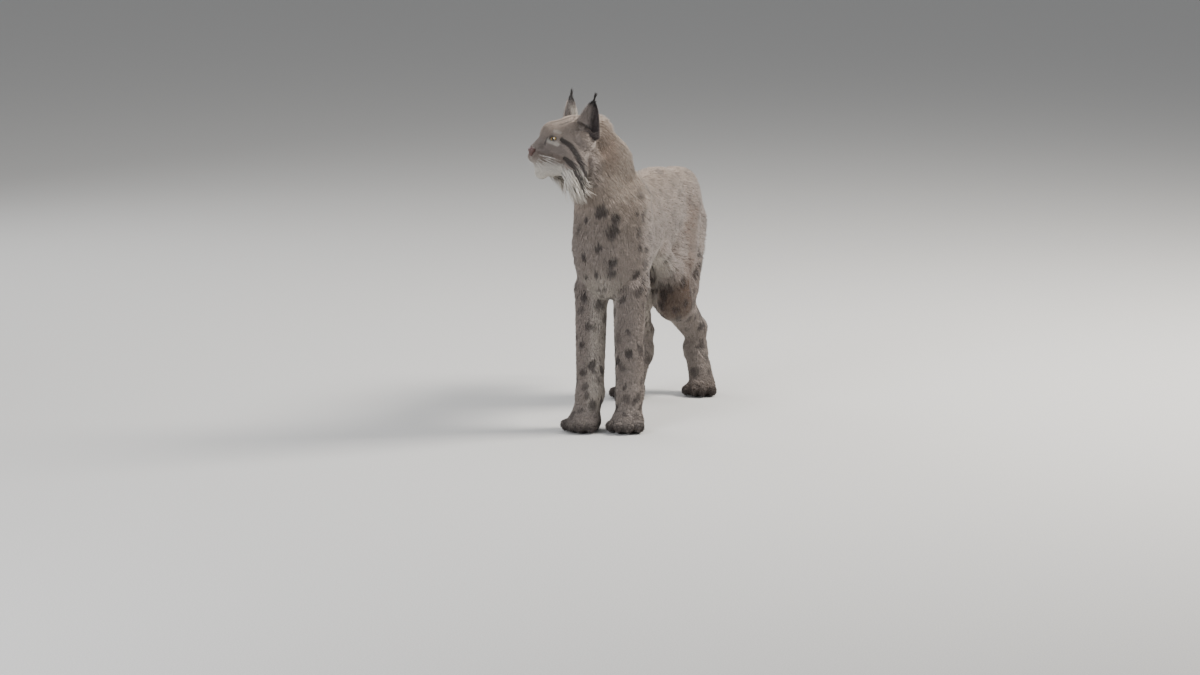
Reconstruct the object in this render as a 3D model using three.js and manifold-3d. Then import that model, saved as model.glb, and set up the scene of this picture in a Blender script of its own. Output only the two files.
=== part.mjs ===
// A Eurasian lynx at life size, standing square with its head turned to its right and its ears pricked.
// Sizes are in millimetres and include the coat. +Z is up, the lynx looks along -Y, and its left side is +X.
// The body is one blended skin of rods and eggs. Each part of the animal is a closed mesh laid on that skin,
// parted from its neighbours by flat cuts and then given its own detail.
import * as THREE from "three";
import { mergeVertices } from "three/addons/utils/BufferGeometryUtils.js";
import Module from "manifold-3d";

const wasm = await Module();
wasm.setup();

const GAP = 0.3;
const FAR = 3000;
const LEFT = 1;
const RIGHT = -1;
const DEGREE = Math.PI / 180;

// Trunk
const WITHERS_HEIGHT = 634;
const RUMP_HEIGHT = 592;
const RUMP_Y = 602;
const RIB_HALF_WIDTH = 80;
const BELLY_HALF_WIDTH = 72;

// Legs: the joints of each, as distances across from the middle, back and up
const FORELEGS = {
  left: { side: LEFT, shoulder: [48, 44, 440], elbow: [50, 56, 345], wrist: [56, 22, 92], paw: [57, 4] },
  right: { side: RIGHT, shoulder: [52, 32, 440], elbow: [43, 40, 345], wrist: [36, -8, 92], paw: [44, -26] },
};
const HINDLEGS = {
  left: { side: LEFT, hip: [35, 500, 490], stifle: [46, 354, 284], hock: [52, 530, 162], paw: [75, 508] },
  right: { side: RIGHT, hip: [35, 478, 490], stifle: [48, 308, 288], hock: [60, 436, 162], paw: [80, 404] },
};
const FOREPAW = { halfWidth: 47, front: 62, back: 42, height: 50, turnOut: 9 * DEGREE };
const HINDPAW = { halfWidth: 44, front: 60, back: 38, height: 46, turnOut: 10 * DEGREE };
const WRIST_CUT = 84;
const HOCK_CUT = 130;
const STIFLE_CUT = 236;

// Head: the middle of the skull, and its turn to the lynx's right
const HEAD = new THREE.Vector3(-61, -71, 722);
const HEAD_TURN = -43.5 * DEGREE;

const EYE = new THREE.Vector3(28, -55, 10);
const EYE_RADIUS = 12;
const EYE_GAZE = new THREE.Vector3(0.52, -0.85, 0.02);
const EAR_ROOT = new THREE.Vector3(44, 20, 22);
const EAR_TIP = new THREE.Vector3(64, 31, 103);
const EAR_FACING = { [LEFT]: new THREE.Vector3(0.74, -0.67, 0), [RIGHT]: new THREE.Vector3(-0.86, -0.5, 0) };
const EAR = { halfWidth: 37, halfDepth: 18.5 };
const RUFF_SEED = 7;

const matte = (color, roughness = 0.95) => new THREE.MeshStandardMaterial({ color, roughness, metalness: 0 });
const COAT = matte(0x8d8179);
const EAR_COAT = matte(0x6d625e);
const BLACK_COAT = matte(0x1c1917);
const EYE_SURFACE = matte(0x8a7434, 0.08);
const NOSE_SKIN = matte(0x6b4a44, 0.55);

const v3 = (x, y, z) => new THREE.Vector3(x, y, z);
const UP = v3(0, 0, 1);
const DOWN = v3(0, 0, -1);

// Solids

function toSolid(geometry) {
  const bare = geometry.clone();
  bare.deleteAttribute("normal");
  bare.deleteAttribute("uv");
  const merged = mergeVertices(bare, 1e-3);
  const corners = merged.index.array;
  const kept = [];
  for (let i = 0; i < corners.length; i += 3) {
    const [a, b, c] = [corners[i], corners[i + 1], corners[i + 2]];
    if (a !== b && b !== c && c !== a) kept.push(a, b, c);
  }
  const mesh = new wasm.Mesh({
    numProp: 3,
    vertProperties: new Float32Array(merged.attributes.position.array),
    triVerts: new Uint32Array(kept),
  });
  return new wasm.Manifold(mesh);
}

function largestOf(solid) {
  return solid.decompose().reduce((best, piece) => (piece.volume() > best.volume() ? piece : best));
}

function toGeometry(solid) {
  const mesh = largestOf(solid).getMesh();
  const places = new Float32Array(mesh.numVert * 3);
  for (let i = 0; i < mesh.numVert; i++) {
    places.set(mesh.vertProperties.subarray(i * mesh.numProp, i * mesh.numProp + 3), i * 3);
  }
  const geometry = new THREE.BufferGeometry();
  geometry.setAttribute("position", new THREE.BufferAttribute(places, 3));
  geometry.setIndex(new THREE.BufferAttribute(new Uint32Array(mesh.triVerts), 1));
  geometry.computeVertexNormals();
  return geometry;
}

// Cuts: a flat cut keeps the side its normal points to, half a gap clear of the plane.

function cut(point, normal) {
  return { point, normal: normal.clone().normalize() };
}

const across = ({ point, normal }) => ({ point, normal: normal.clone().negate() });

const mirrored = ({ point, normal }) => ({
  point: v3(-point.x, point.y, point.z),
  normal: v3(-normal.x, normal.y, normal.z),
});

function keep(solid, { point, normal }, gap = GAP / 2) {
  const block = new THREE.BoxGeometry(FAR, FAR, FAR);
  block.translate(0, 0, FAR / 2 + gap);
  block.applyQuaternion(new THREE.Quaternion().setFromUnitVectors(UP, normal));
  block.translate(point.x, point.y, point.z);
  return solid.intersect(toSolid(block));
}

// Blended shapes: each is a function of x, y, z, below zero inside and growing with the distance outside.

// An egg leans back at its top by its lean.
function egg([cx, cy, cz], [rx, ry, rz], lean = 0) {
  const [cosine, sine] = [Math.cos(lean), Math.sin(lean)];
  return (x, y, z) => {
    const back = (y - cy) * cosine - (z - cz) * sine;
    const up = (y - cy) * sine + (z - cz) * cosine;
    const [a, b, c] = [(x - cx) / rx, back / ry, up / rz];
    const stretched = Math.hypot(a, b, c);
    const slope = Math.hypot(a / rx, b / ry, c / rz);
    return slope < 1e-9 ? -Math.min(rx, ry, rz) : (stretched * (stretched - 1)) / slope;
  };
}

function rod([ax, ay, az], [bx, by, bz], startRadius, endRadius) {
  const [dx, dy, dz] = [bx - ax, by - ay, bz - az];
  const lengthSquared = dx * dx + dy * dy + dz * dz;
  return (x, y, z) => {
    const along = ((x - ax) * dx + (y - ay) * dy + (z - az) * dz) / lengthSquared;
    const t = Math.min(1, Math.max(0, along));
    const radius = startRadius + (endRadius - startRadius) * t;
    return Math.hypot(x - ax - dx * t, y - ay - dy * t, z - az - dz * t) - radius;
  };
}

function blend(softness, ...shapes) {
  return (x, y, z) => {
    let nearest = FAR;
    for (const shape of shapes) {
      const next = shape(x, y, z);
      const overlap = Math.max(softness - Math.abs(nearest - next), 0) / softness;
      nearest = Math.min(nearest, next) - (overlap * overlap * softness) / 4;
    }
    return nearest;
  };
}

// A shape that stops a little past each cut.
function limited(shape, cuts, margin) {
  return (x, y, z) => {
    let value = shape(x, y, z);
    for (const { point, normal } of cuts) {
      const inside = (x - point.x) * normal.x + (y - point.y) * normal.y + (z - point.z) * normal.z;
      value = Math.max(value, -inside - margin);
    }
    return value;
  };
}

const grown = (shape, swell) => (x, y, z) => shape(x, y, z) - swell;

// The same shape seen from another frame, such as the head's own.
function seenFrom(matrix, shape) {
  const point = v3(0, 0, 0);
  return (x, y, z) => {
    point.set(x, y, z).applyMatrix4(matrix);
    return shape(point.x, point.y, point.z);
  };
}

// How far a ray goes from inside a shape to its skin
function distanceOut(shape, from, direction, reach) {
  const step = 4;
  const at = (t) => shape(from.x + direction.x * t, from.y + direction.y * t, from.z + direction.z * t);
  let outside = step;
  while (outside < reach && at(outside) < 0) outside += step;
  if (outside >= reach) return reach;
  let inside = outside - step;
  for (let i = 0; i < 12; i++) {
    const middle = (inside + outside) / 2;
    if (at(middle) < 0) inside = middle;
    else outside = middle;
  }
  return inside;
}

// A capsule laid along a spine and pushed out to the skin of a shape, and past it by swell
function wrap(shape, spinePoints, { around, along, cap = 4, reach = 260, swell = 0 }) {
  const spine = new THREE.CatmullRomCurve3(spinePoints.map((point) => v3(...point)));
  const swollen = grown(shape, swell);
  const geometry = new THREE.CapsuleGeometry(1, 1, cap, around, along);
  const position = geometry.getAttribute("position");
  for (let i = 0; i < position.count; i++) {
    const vertex = v3().fromBufferAttribute(position, i);
    const station = THREE.MathUtils.clamp(vertex.y, -0.5, 0.5);
    const centre = spine.getPoint(station + 0.5);
    const tangent = spine.getTangent(station + 0.5);
    const sideways = v3(1, 0, 0).addScaledVector(tangent, -tangent.x).normalize();
    const third = sideways.clone().cross(tangent);
    const out = sideways.multiplyScalar(vertex.x).addScaledVector(tangent, vertex.y - station);
    out.addScaledVector(third, vertex.z).normalize();
    centre.addScaledVector(out, distanceOut(swollen, centre, out, reach));
    position.setXYZ(i, centre.x, centre.y, centre.z);
  }
  return toSolid(geometry);
}

// The skin of a shape as a closed net, with one vertex in each grid cell that the skin passes through
function net(shape, low, high, cell) {
  const axes = [0, 1, 2];
  const first = axes.map((a) => Math.floor(low[a] / cell[a]));
  const count = axes.map((a) => Math.ceil(high[a] / cell[a]) - first[a] + 1);
  const indexOf = ([i, j, k]) => (k * count[1] + j) * count[0] + i;
  const placeOf = (corner) => axes.map((a) => (first[a] + corner[a]) * cell[a]);
  const next = (corner, axis, step) => corner.map((value, a) => (a === axis ? value + step : value));
  const corners = [];
  for (let k = 0; k < count[2]; k++) {
    for (let j = 0; j < count[1]; j++) {
      for (let i = 0; i < count[0]; i++) corners.push([i, j, k]);
    }
  }
  const values = corners.map((corner) => shape(...placeOf(corner)));
  const sums = new Map();
  const edges = [];
  for (const corner of corners) {
    for (const axis of axes) {
      if (corner[axis] + 1 >= count[axis]) continue;
      const start = values[indexOf(corner)];
      const end = values[indexOf(next(corner, axis, 1))];
      if (start < 0 === end < 0) continue;
      const crossing = placeOf(corner);
      crossing[axis] += (cell[axis] * start) / (start - end);
      const [u, v] = [(axis + 1) % 3, (axis + 2) % 3];
      const ring = [corner, next(corner, u, -1), next(next(corner, u, -1), v, -1), next(corner, v, -1)];
      for (const around of ring) {
        const sum = sums.get(indexOf(around)) ?? { total: [0, 0, 0], parts: 0, corner: around };
        axes.forEach((a) => (sum.total[a] += crossing[a]));
        sum.parts += 1;
        sums.set(indexOf(around), sum);
      }
      edges.push(start < 0 ? ring : ring.reverse());
    }
  }
  const positions = [];
  const vertexOf = new Map();
  for (const [key, { total, parts, corner }] of sums) {
    const floor = placeOf(corner);
    const middle = total.map((value) => value / parts);
    vertexOf.set(key, positions.length / 3);
    const place = ontoSkin(shape, middle);
    positions.push(...axes.map((a) => THREE.MathUtils.clamp(place[a], floor[a], floor[a] + cell[a])));
  }
  const pointOf = (vertex) => positions.slice(vertex * 3, vertex * 3 + 3);
  const offSkin = (a, b) => {
    const [p, q] = [pointOf(a), pointOf(b)];
    return Math.abs(shape((p[0] + q[0]) / 2, (p[1] + q[1]) / 2, (p[2] + q[2]) / 2));
  };
  const triangles = [];
  for (const ring of edges) {
    const [a, b, c, d] = ring.map((corner) => vertexOf.get(indexOf(corner)));
    if (offSkin(a, c) < offSkin(b, d)) triangles.push(a, b, c, a, c, d);
    else triangles.push(a, b, d, b, c, d);
  }
  const geometry = new THREE.BufferGeometry();
  geometry.setAttribute("position", new THREE.Float32BufferAttribute(positions, 3));
  geometry.setIndex(triangles);
  return toSolid(geometry);
}

// Moves a point along the slope of a shape until it is on the skin.
function ontoSkin(shape, [x, y, z]) {
  const small = 0.5;
  for (let i = 0; i < 3; i++) {
    const value = shape(x, y, z);
    const slope = v3(
      shape(x + small, y, z) - shape(x - small, y, z),
      shape(x, y + small, z) - shape(x, y - small, z),
      shape(x, y, z + small) - shape(x, y, z - small),
    ).divideScalar(2 * small);
    const step = value / Math.max(slope.lengthSq(), 0.2);
    [x, y, z] = [x - slope.x * step, y - slope.y * step, z - slope.z * step];
  }
  return [x, y, z];
}

// One part of the body: netted a little past its cuts, then cut.
const MARGIN = 30;

function bodyPart(skin, low, high, cell, cuts) {
  const solid = net(limited(skin, cuts, MARGIN), low, high, cell);
  return cuts.reduce((kept, plane) => keep(kept, plane), solid);
}

// The skin of each region

const sided = (side, [x, y, z]) => [side * x, y, z];

function shoulderShape({ side, shoulder, elbow }) {
  const [x, y, z] = shoulder;
  return blend(
    24,
    egg([side * 42, y + 24, 470], [40, 72, 118], 8 * DEGREE),
    rod([side * (x - 8), y - 30, z + 20], sided(side, elbow), 36, 34),
    rod([side * (x - 4), y + 30, z], [side * elbow[0], elbow[1] + 6, elbow[2] + 10], 40, 34),
  );
}

function thighShape({ side, hip, stifle }) {
  const [hipX, hipY, hipZ] = hip;
  const [stifleX, stifleY, stifleZ] = stifle;
  const lean = Math.atan2(hipY - stifleY - 20, hipZ - stifleZ);
  return blend(
    24,
    egg([side * 38, (hipY + stifleY) / 2 + 12, (hipZ + stifleZ) / 2 + 4], [41, 88, 158], lean),
    rod([side * hipX, hipY + 36, hipZ - 40], [side * (stifleX + 6), stifleY + 106, stifleZ + 8], 40, 31),
    rod([side * stifleX, stifleY + 10, stifleZ + 30], [side * stifleX, stifleY + 20, stifleZ - 24], 38, 38),
    rod([side * stifleX, stifleY + 12, stifleZ + 40], [side * 34, stifleY - 76, stifleZ + 126], 32, 28),
  );
}

function forelegShape({ side, elbow, wrist, paw }) {
  const [elbowX, elbowY, elbowZ] = elbow;
  const [wristX, wristY, wristZ] = wrist;
  return blend(
    16,
    rod([side * elbowX, elbowY - 22, elbowZ], [side * wristX, wristY, wristZ], 40, 33.5),
    rod([side * elbowX, elbowY + 12, elbowZ], [side * wristX, wristY + 16, wristZ + 70], 31, 19),
    rod([side * wristX, wristY, wristZ], [side * paw[0], paw[1] + 8, 36], 32, 34),
  );
}

function shankShape({ side, stifle, hock }) {
  const [stifleX, stifleY, stifleZ] = stifle;
  const [hockX, hockY, hockZ] = hock;
  return blend(
    18,
    rod([side * stifleX, stifleY + 12, stifleZ - 16], [side * hockX, hockY - 16, hockZ + 6], 39, 30),
    rod([side * stifleX, stifleY + 72, stifleZ - 10], [side * hockX, hockY + 6, hockZ + 12], 30, 19),
  );
}

function metatarsusShape({ side, hock, paw }) {
  const [hockX, hockY, hockZ] = hock;
  return blend(
    14,
    rod([side * hockX, hockY + 4, hockZ + 8], [side * hockX, hockY - 3, hockZ - 50], 27, 28),
    rod([side * hockX, hockY - 4, hockZ - 40], [side * paw[0], paw[1] + 8, 34], 28, 31),
  );
}

// Places on a paw, from its middle: across, forward and up
function pawFrame({ side, paw }, { turnOut }) {
  const turn = side * turnOut;
  return (a, f, up) => [
    side * paw[0] + Math.cos(turn) * a + Math.sin(turn) * f,
    paw[1] + Math.sin(turn) * a - Math.cos(turn) * f,
    up,
  ];
}

function palmShape(leg, size) {
  const place = pawFrame(leg, size);
  return egg(place(0, 2, size.height * 0.4), [size.halfWidth * 0.84, size.back + 4, size.height * 0.62]);
}

function toeSolids(leg, size) {
  const place = pawFrame(leg, size);
  const turn = leg.side * size.turnOut;
  return [-1.5, -0.5, 0.5, 1.5].map((step) => {
    const toe = new THREE.SphereGeometry(1, 8, 6);
    toe.rotateX(Math.PI / 2);
    toe.scale(size.halfWidth * 0.31, size.front * 0.42, size.height * 0.36);
    toe.rotateX(8 * DEGREE);
    toe.rotateZ(turn + step * 8 * DEGREE);
    const outward = step * size.halfWidth * 0.46;
    toe.translate(...place(outward, size.front * (0.58 - 0.11 * step * step), size.height * 0.34));
    return toSolid(toe);
  });
}

const trunkCore = blend(
  36,
  egg([0, 100, 470], [RIB_HALF_WIDTH, 170, 150]),
  egg([0, 76, 540], [50, 104, WITHERS_HEIGHT - 548]),
  egg([0, -16, 442], [62, 62, 116], -13 * DEGREE),
  egg([0, 318, 491], [BELLY_HALF_WIDTH, 236, 117]),
  egg([0, 500, 504], [66, RUMP_Y - 508, RUMP_HEIGHT - 508]),
  rod([0, 548, 536], [0, 588, 522], 34, 28),
);
const trunk = blend(
  26,
  trunkCore,
  ...Object.values(FORELEGS).map(shoulderShape),
  ...Object.values(HINDLEGS).map(thighShape),
);

const neckShape = blend(
  30,
  rod([0, 70, 562], [-8, 18, 662], 78, 58),
  rod([-8, 18, 662], [-24, -24, 732], 58, 49),
  rod([0, -12, 520], [-24, -34, 660], 66, 50),
);

const withNeck = blend(36, trunk, neckShape);

function headShape() {
  const pairs = [LEFT, RIGHT].flatMap((side) => [
    egg([side * 34, -16, -24], [30, 44, 40]),
    egg([side * 20, -56, -2], [20, 20, 20]),
    rod([side * 10, -72, -66], [side * 34, -4, -54], 15, 27),
    egg([side * EYE.x, EYE.y + 1, EYE.z], [EYE_RADIUS + 3.4, EYE_RADIUS + 2.6, EYE_RADIUS + 3]),
    egg([side * 48, 14, 4], [19, 26, 28]),
    egg([side * 42, side === LEFT ? -12 : 6, -66], [20, 28, 38]),
  ]);
  const skull = blend(
    10,
    egg([0, 6, 2], [52, 66, 58]),
    egg([0, -42, 18], [36, 37, 32]),
    rod([0, 0, -10], [0, -80, -34], 44, 22),
    rod([0, -54, 18], [0, -97, -15], 16, 12),
    rod([0, -50, -56], [0, 20, -54], 25, 40),
    ...pairs,
  );
  const muzzle = blend(
    5,
    egg([13, -82, -35], [18, 26, 18]),
    egg([-13, -82, -35], [18, 26, 18]),
    egg([0, -78, -70], [19, 18, 19]),
  );
  return blend(8, skull, muzzle);
}

const head = headShape();
const fromHead = new THREE.Matrix4().makeRotationZ(HEAD_TURN).setPosition(HEAD);
const toHead = fromHead.clone().invert();
const upperSkin = blend(20, withNeck, seenFrom(toHead, head));
const headSkin = seenFrom(fromHead, upperSkin);

const forelegSkin = (leg) => blend(16, blend(20, withNeck, forelegShape(leg)), palmShape(leg, FOREPAW));
const hindlegSkin = (leg) =>
  blend(12, blend(14, blend(20, withNeck, shankShape(leg)), metatarsusShape(leg)), palmShape(leg, HINDPAW));

// The cuts between parts, each with its normal towards the part further from the trunk

const NECK_BASE = cut(v3(0, 20, 596), v3(0, -0.5, 0.866));
const NECK_TOP_IN_HEAD = cut(v3(0, 32, -20), v3(0, -0.884, 0.468));
const NECK_TOP = cut(
  NECK_TOP_IN_HEAD.point.clone().applyMatrix4(fromHead),
  NECK_TOP_IN_HEAD.normal.clone().applyAxisAngle(UP, HEAD_TURN),
);
const ELBOW_PLANE = cut(v3(0, 20, 300), v3(0.88, -0.25, -1));
const hipPlane = (leg) => cut(v3(0, leg.stifle[1] + 220, 400), v3(0.866, 0.231, -0.444));
const midline = (side) => cut(v3(0, 0, 0), v3(side, 0, 0));
const onSide = (side, plane) => (side === LEFT ? plane : mirrored(plane));
const above = (height) => cut(v3(0, 0, height), UP);
const below = (height) => cut(v3(0, 0, height), DOWN);

// The body parts

const TRUNK_CELL = [18, 28, 23];
const LEG_CELL = [15, 16, 22];

function makeTorso() {
  const elbows = [ELBOW_PLANE, mirrored(ELBOW_PLANE)];
  const hips = Object.values(HINDLEGS).map((leg) => onSide(leg.side, hipPlane(leg)));
  const cuts = [NECK_BASE, ...elbows, ...hips].map(across);
  return bodyPart(withNeck, [-140, -150, 220], [140, 660, 700], TRUNK_CELL, cuts);
}

function makeNeck() {
  const cuts = [NECK_BASE, across(NECK_TOP)];
  return bodyPart(upperSkin, [-160, -170, 480], [140, 180, 860], TRUNK_CELL, cuts);
}

function makeForeleg(leg) {
  const cuts = [onSide(leg.side, ELBOW_PLANE), midline(leg.side), above(WRIST_CUT)];
  return bodyPart(forelegSkin(leg), [-160, -140, 30], [160, 200, 480], LEG_CELL, cuts);
}

function makeThigh(leg) {
  const cuts = [onSide(leg.side, hipPlane(leg)), midline(leg.side), above(STIFLE_CUT)];
  return bodyPart(hindlegSkin(leg), [-160, 200, 180], [160, 680, 640], TRUNK_CELL, cuts);
}

function makeShank(leg) {
  const cuts = [below(STIFLE_CUT), above(HOCK_CUT)];
  return bodyPart(hindlegSkin(leg), [-160, 240, 80], [160, 620, 300], LEG_CELL, [...cuts, midline(leg.side)]);
}

function makePaw(leg, size, skin, joint, height) {
  const { side, paw } = leg;
  const spine = [
    [side * joint[0], joint[1], height + 20],
    [side * (joint[0] + paw[0]) * 0.5, (joint[1] + paw[1]) * 0.5 + 2, height * 0.5 + 10],
    [side * paw[0], paw[1], 20],
  ];
  const ankle = wrap(limited(skin, [below(height)], MARGIN), spine, {
    around: 14,
    along: Math.round(height / 22) + 3,
    cap: 3,
  });
  const whole = toeSolids(leg, size).reduce((joined, toe) => joined.add(toe), ankle);
  return keep(keep(whole, below(height)), above(0), 0);
}

// A thin cord of even thickness along a path
const cord = (path, radius, segments) => wrap(() => -1, path, { ...segments, reach: radius });

// A flat tapered lock of fur from its root to its tip, widest a third of the way along
function lock(path, width, thickness, flatSide, segments = [6, 6]) {
  const curve = new THREE.CatmullRomCurve3(path);
  const geometry = new THREE.SphereGeometry(1, ...segments);
  const position = geometry.getAttribute("position");
  for (let i = 0; i < position.count; i++) {
    const vertex = v3().fromBufferAttribute(position, i);
    const t = (1 - vertex.y) / 2;
    const ring = Math.hypot(vertex.x, vertex.z) || 1;
    const fullness = t > 0 && t < 1 ? Math.min(1, 0.6 + t) * (1 - t) ** 0.5 : 0;
    const tangent = curve.getTangent(t);
    const sideways = tangent.clone().cross(flatSide).normalize();
    const through = sideways.clone().cross(tangent);
    const point = curve.getPoint(t);
    point.addScaledVector(sideways, (vertex.x / ring) * width * fullness);
    point.addScaledVector(through, (-vertex.z / ring) * thickness * fullness);
    position.setXYZ(i, point.x, point.y, point.z);
  }
  return toSolid(geometry);
}

// Places on the skin of the head, straight out from a point inside it
function onHead(from, towards) {
  const direction = towards.clone().normalize();
  return from.clone().addScaledVector(direction, distanceOut(headSkin, from, direction, 140));
}

// A cup: a teardrop shell, hollowed from the front
function makeEar(side) {
  const root = v3(side * EAR_ROOT.x, EAR_ROOT.y, EAR_ROOT.z);
  const tip = v3(side * EAR_TIP.x, EAR_TIP.y, EAR_TIP.z);
  const up = tip.clone().sub(root);
  const height = up.length();
  up.normalize();
  const facing = EAR_FACING[side].clone();
  facing.addScaledVector(up, -facing.dot(up)).normalize();
  const sideways = up.clone().cross(facing);
  const frame = new THREE.Matrix4().makeBasis(sideways, facing.clone().negate(), up).setPosition(root);
  const teardrop = (size, low, high, forward) => {
    const geometry = new THREE.SphereGeometry(1, 12, 8);
    geometry.rotateX(Math.PI / 2);
    const position = geometry.getAttribute("position");
    for (let i = 0; i < position.count; i++) {
      const vertex = v3().fromBufferAttribute(position, i);
      const t = (vertex.z + 1) / 2;
      const ring = Math.hypot(vertex.x, vertex.y) || 1;
      const fullness = t > 0 && t < 1 ? Math.min(1, (t * 6) ** 0.5) * (1 - t) ** 0.58 : 0;
      const x = (vertex.x / ring) * EAR.halfWidth * size * fullness;
      const y = (vertex.y / ring) * EAR.halfDepth * size * fullness;
      position.setXYZ(i, x, y - forward * fullness, low + (high - low) * t);
    }
    return toSolid(geometry.applyMatrix4(frame));
  };
  const cup = teardrop(1, -20, height, 0).subtract(teardrop(0.92, 0, height - 3, EAR.halfDepth * 0.55));
  const tuft = [-1, 0, 1].map((step) => {
    const start = tip.clone().addScaledVector(up, -14).addScaledVector(facing, -2);
    const bend = tip.clone().addScaledVector(up, 4).addScaledVector(sideways, step * 1.5);
    const end = tip.clone().addScaledVector(up, 18 - Math.abs(step) * 5).addScaledVector(sideways, step * 4);
    return lock([start, bend, end], 4.2, 1.6, facing, [4, 5]);
  });
  return tuft.reduce((joined, strand) => joined.add(strand), cup);
}

function makeEye(side, swell = 0) {
  const ball = new THREE.SphereGeometry(EYE_RADIUS + swell, 14, 10);
  ball.translate(side * EYE.x, EYE.y, EYE.z);
  return toSolid(ball);
}

// The opening between the lids: an almond, its inner corner the lower
function lidOpening(side) {
  const almond = new THREE.Shape();
  const outward = side * 10;
  almond.moveTo(-outward, -2.5);
  almond.quadraticCurveTo(-outward * 0.2, 8.5, outward * 1.05, 2.5);
  almond.quadraticCurveTo(outward * 0.2, -9, -outward, -2.5);
  const block = new THREE.ExtrudeGeometry(almond, { depth: 40, bevelEnabled: false, curveSegments: 5 });
  const gaze = v3(side * EYE_GAZE.x, EYE_GAZE.y, EYE_GAZE.z).normalize();
  const sideways = UP.clone().cross(gaze).normalize();
  const frame = new THREE.Matrix4().makeBasis(sideways, gaze.clone().cross(sideways), gaze);
  block.applyMatrix4(frame.setPosition(v3(side * EYE.x, EYE.y, EYE.z)));
  return toSolid(block);
}

function makeNose(swell = 0) {
  const pad = blend(4, egg([0, -104, -17], [13, 9, 8]), egg([0, -104, -25], [6, 8, 8]));
  const spine = [[0, -99, -20], [0, -105, -20]];
  const solid = wrap(pad, spine, { around: 12, along: 2, cap: 3, reach: 30, swell });
  if (swell) return solid;
  return [LEFT, RIGHT].reduce((left, side) => {
    const path = [[side * 7.5, -117, -21], [side * 6, -110, -19], [side * 4, -105, -19]];
    return left.subtract(cord(path, 2.4, { around: 6, along: 3, cap: 2 }));
  }, solid);
}

// The line of the mouth, from one corner round the front to the other
function mouthLine() {
  const path = [];
  for (let step = -8; step <= 8; step++) {
    const t = Math.abs(step) / 8;
    const turn = Math.sign(step) * Math.min(1, t * 1.5) * 90 * DEGREE;
    const from = v3(0, -82 + 34 * t, -51 - 12 * t);
    path.push(onHead(from, v3(Math.sin(turn), -Math.cos(turn), -0.12)).toArray());
  }
  return cord(path, 1.7, { around: 6, along: 24, cap: 2 });
}

function seededRandom(seed) {
  let state = seed;
  return () => {
    state = (state * 16807) % 2147483647;
    return state / 2147483647;
  };
}

// Two tiers of locks along the lower edge of each cheek, the longest in front, all clear of the parts below
function ruff(below) {
  const random = seededRandom(RUFF_SEED);
  const clearOf = (strand, solid, side) => strand.subtract(solid.translate(side * GAP, -GAP, 0));
  const locks = [];
  for (const side of [LEFT, RIGHT]) {
    const front = side === LEFT ? -34 : -14;
    for (const [tier, count] of [5, 4].entries()) {
      for (let i = 0; i < count; i++) {
        const t = (i + 0.5 * tier) / 4;
        const outward = v3(side, 0, -0.75 + 0.55 * t).normalize();
        const root = onHead(v3(side * 26, front + 50 * t, -66 + 22 * t + tier * 12), outward);
        const inside = root.clone().addScaledVector(outward, -14);
        root.addScaledVector(outward, -4);
        const length = ((side === LEFT ? 66 : 56) - 20 * t) * (0.88 + 0.2 * random()) - tier * 10;
        const fall = v3(side * 0.04, 0.04 + 0.22 * t + 0.08 * random(), -1).normalize();
        const middle = root.clone().addScaledVector(fall, length * 0.5).addScaledVector(outward, 4);
        const end = root.clone().addScaledVector(fall, length);
        const strand = lock([inside, root, middle, end], 13 + 4 * random(), 4, v3(side, -0.15, 0), [5, 5]);
        locks.push(below.reduce((rest, solid) => clearOf(rest, solid, side), strand));
      }
    }
  }
  return locks;
}

const HEAD_SPINE = [[0, 30, 0], [0, -44, -18]];
const HEAD_SEGMENTS = { around: 38, along: 5, cap: 13, reach: 150 };

function makeHead(below) {
  let solid = wrap(headSkin, HEAD_SPINE, HEAD_SEGMENTS);
  for (const side of [LEFT, RIGHT]) {
    solid = solid.subtract(lidOpening(side)).subtract(makeEye(side, GAP));
  }
  solid = solid.subtract(mouthLine()).subtract(makeNose(GAP));
  solid = keep(solid, NECK_TOP_IN_HEAD);
  const belowHead = below.map((part) => part.transform(toHead.elements));
  return ruff(belowHead).reduce((joined, strand) => joined.add(strand), solid);
}

const TAIL_PATH = [[0, 578, 538], [0, 626, 500], [0, 640, 440], [0, 642, 386]];

function makeTail(torso) {
  const [root, high, low, tip] = TAIL_PATH;
  const shape = blend(12, rod(root, high, 27, 25), rod(high, low, 25, 24), rod(low, tip, 24, 19));
  return wrap(shape, TAIL_PATH, { around: 12, along: 8, cap: 3 }).subtract(torso.translate(0, GAP, 0));
}

const TAIL_TIP_CUT = cut(v3(0, 641, 424), v3(0, 0.05, -1));

// The whole animal, the head's nodes in a group of their own that turns with it

const lynx = new THREE.Group();
const headGroup = new THREE.Group();
headGroup.position.copy(HEAD);
headGroup.rotation.z = HEAD_TURN;
lynx.add(headGroup);

function addNode(group, name, solid, material) {
  const mesh = new THREE.Mesh(toGeometry(solid), material);
  mesh.name = name;
  group.add(mesh);
}

const torso = makeTorso();
const neck = makeNeck();
const tail = makeTail(torso);
addNode(lynx, "torso", torso, COAT);
addNode(lynx, "neck", neck, COAT);
addNode(lynx, "tail", keep(tail, across(TAIL_TIP_CUT)), COAT);
addNode(lynx, "tail_tip", keep(tail, TAIL_TIP_CUT), BLACK_COAT);
for (const [name, leg] of Object.entries(FORELEGS)) {
  addNode(lynx, `foreleg_${name}`, makeForeleg(leg), COAT);
  addNode(lynx, `forepaw_${name}`, makePaw(leg, FOREPAW, forelegSkin(leg), leg.wrist, WRIST_CUT), COAT);
}
for (const [name, leg] of Object.entries(HINDLEGS)) {
  addNode(lynx, `thigh_${name}`, makeThigh(leg), COAT);
  addNode(lynx, `shank_${name}`, makeShank(leg), COAT);
  addNode(lynx, `hindfoot_${name}`, makePaw(leg, HINDPAW, hindlegSkin(leg), leg.hock, HOCK_CUT), COAT);
}
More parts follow.
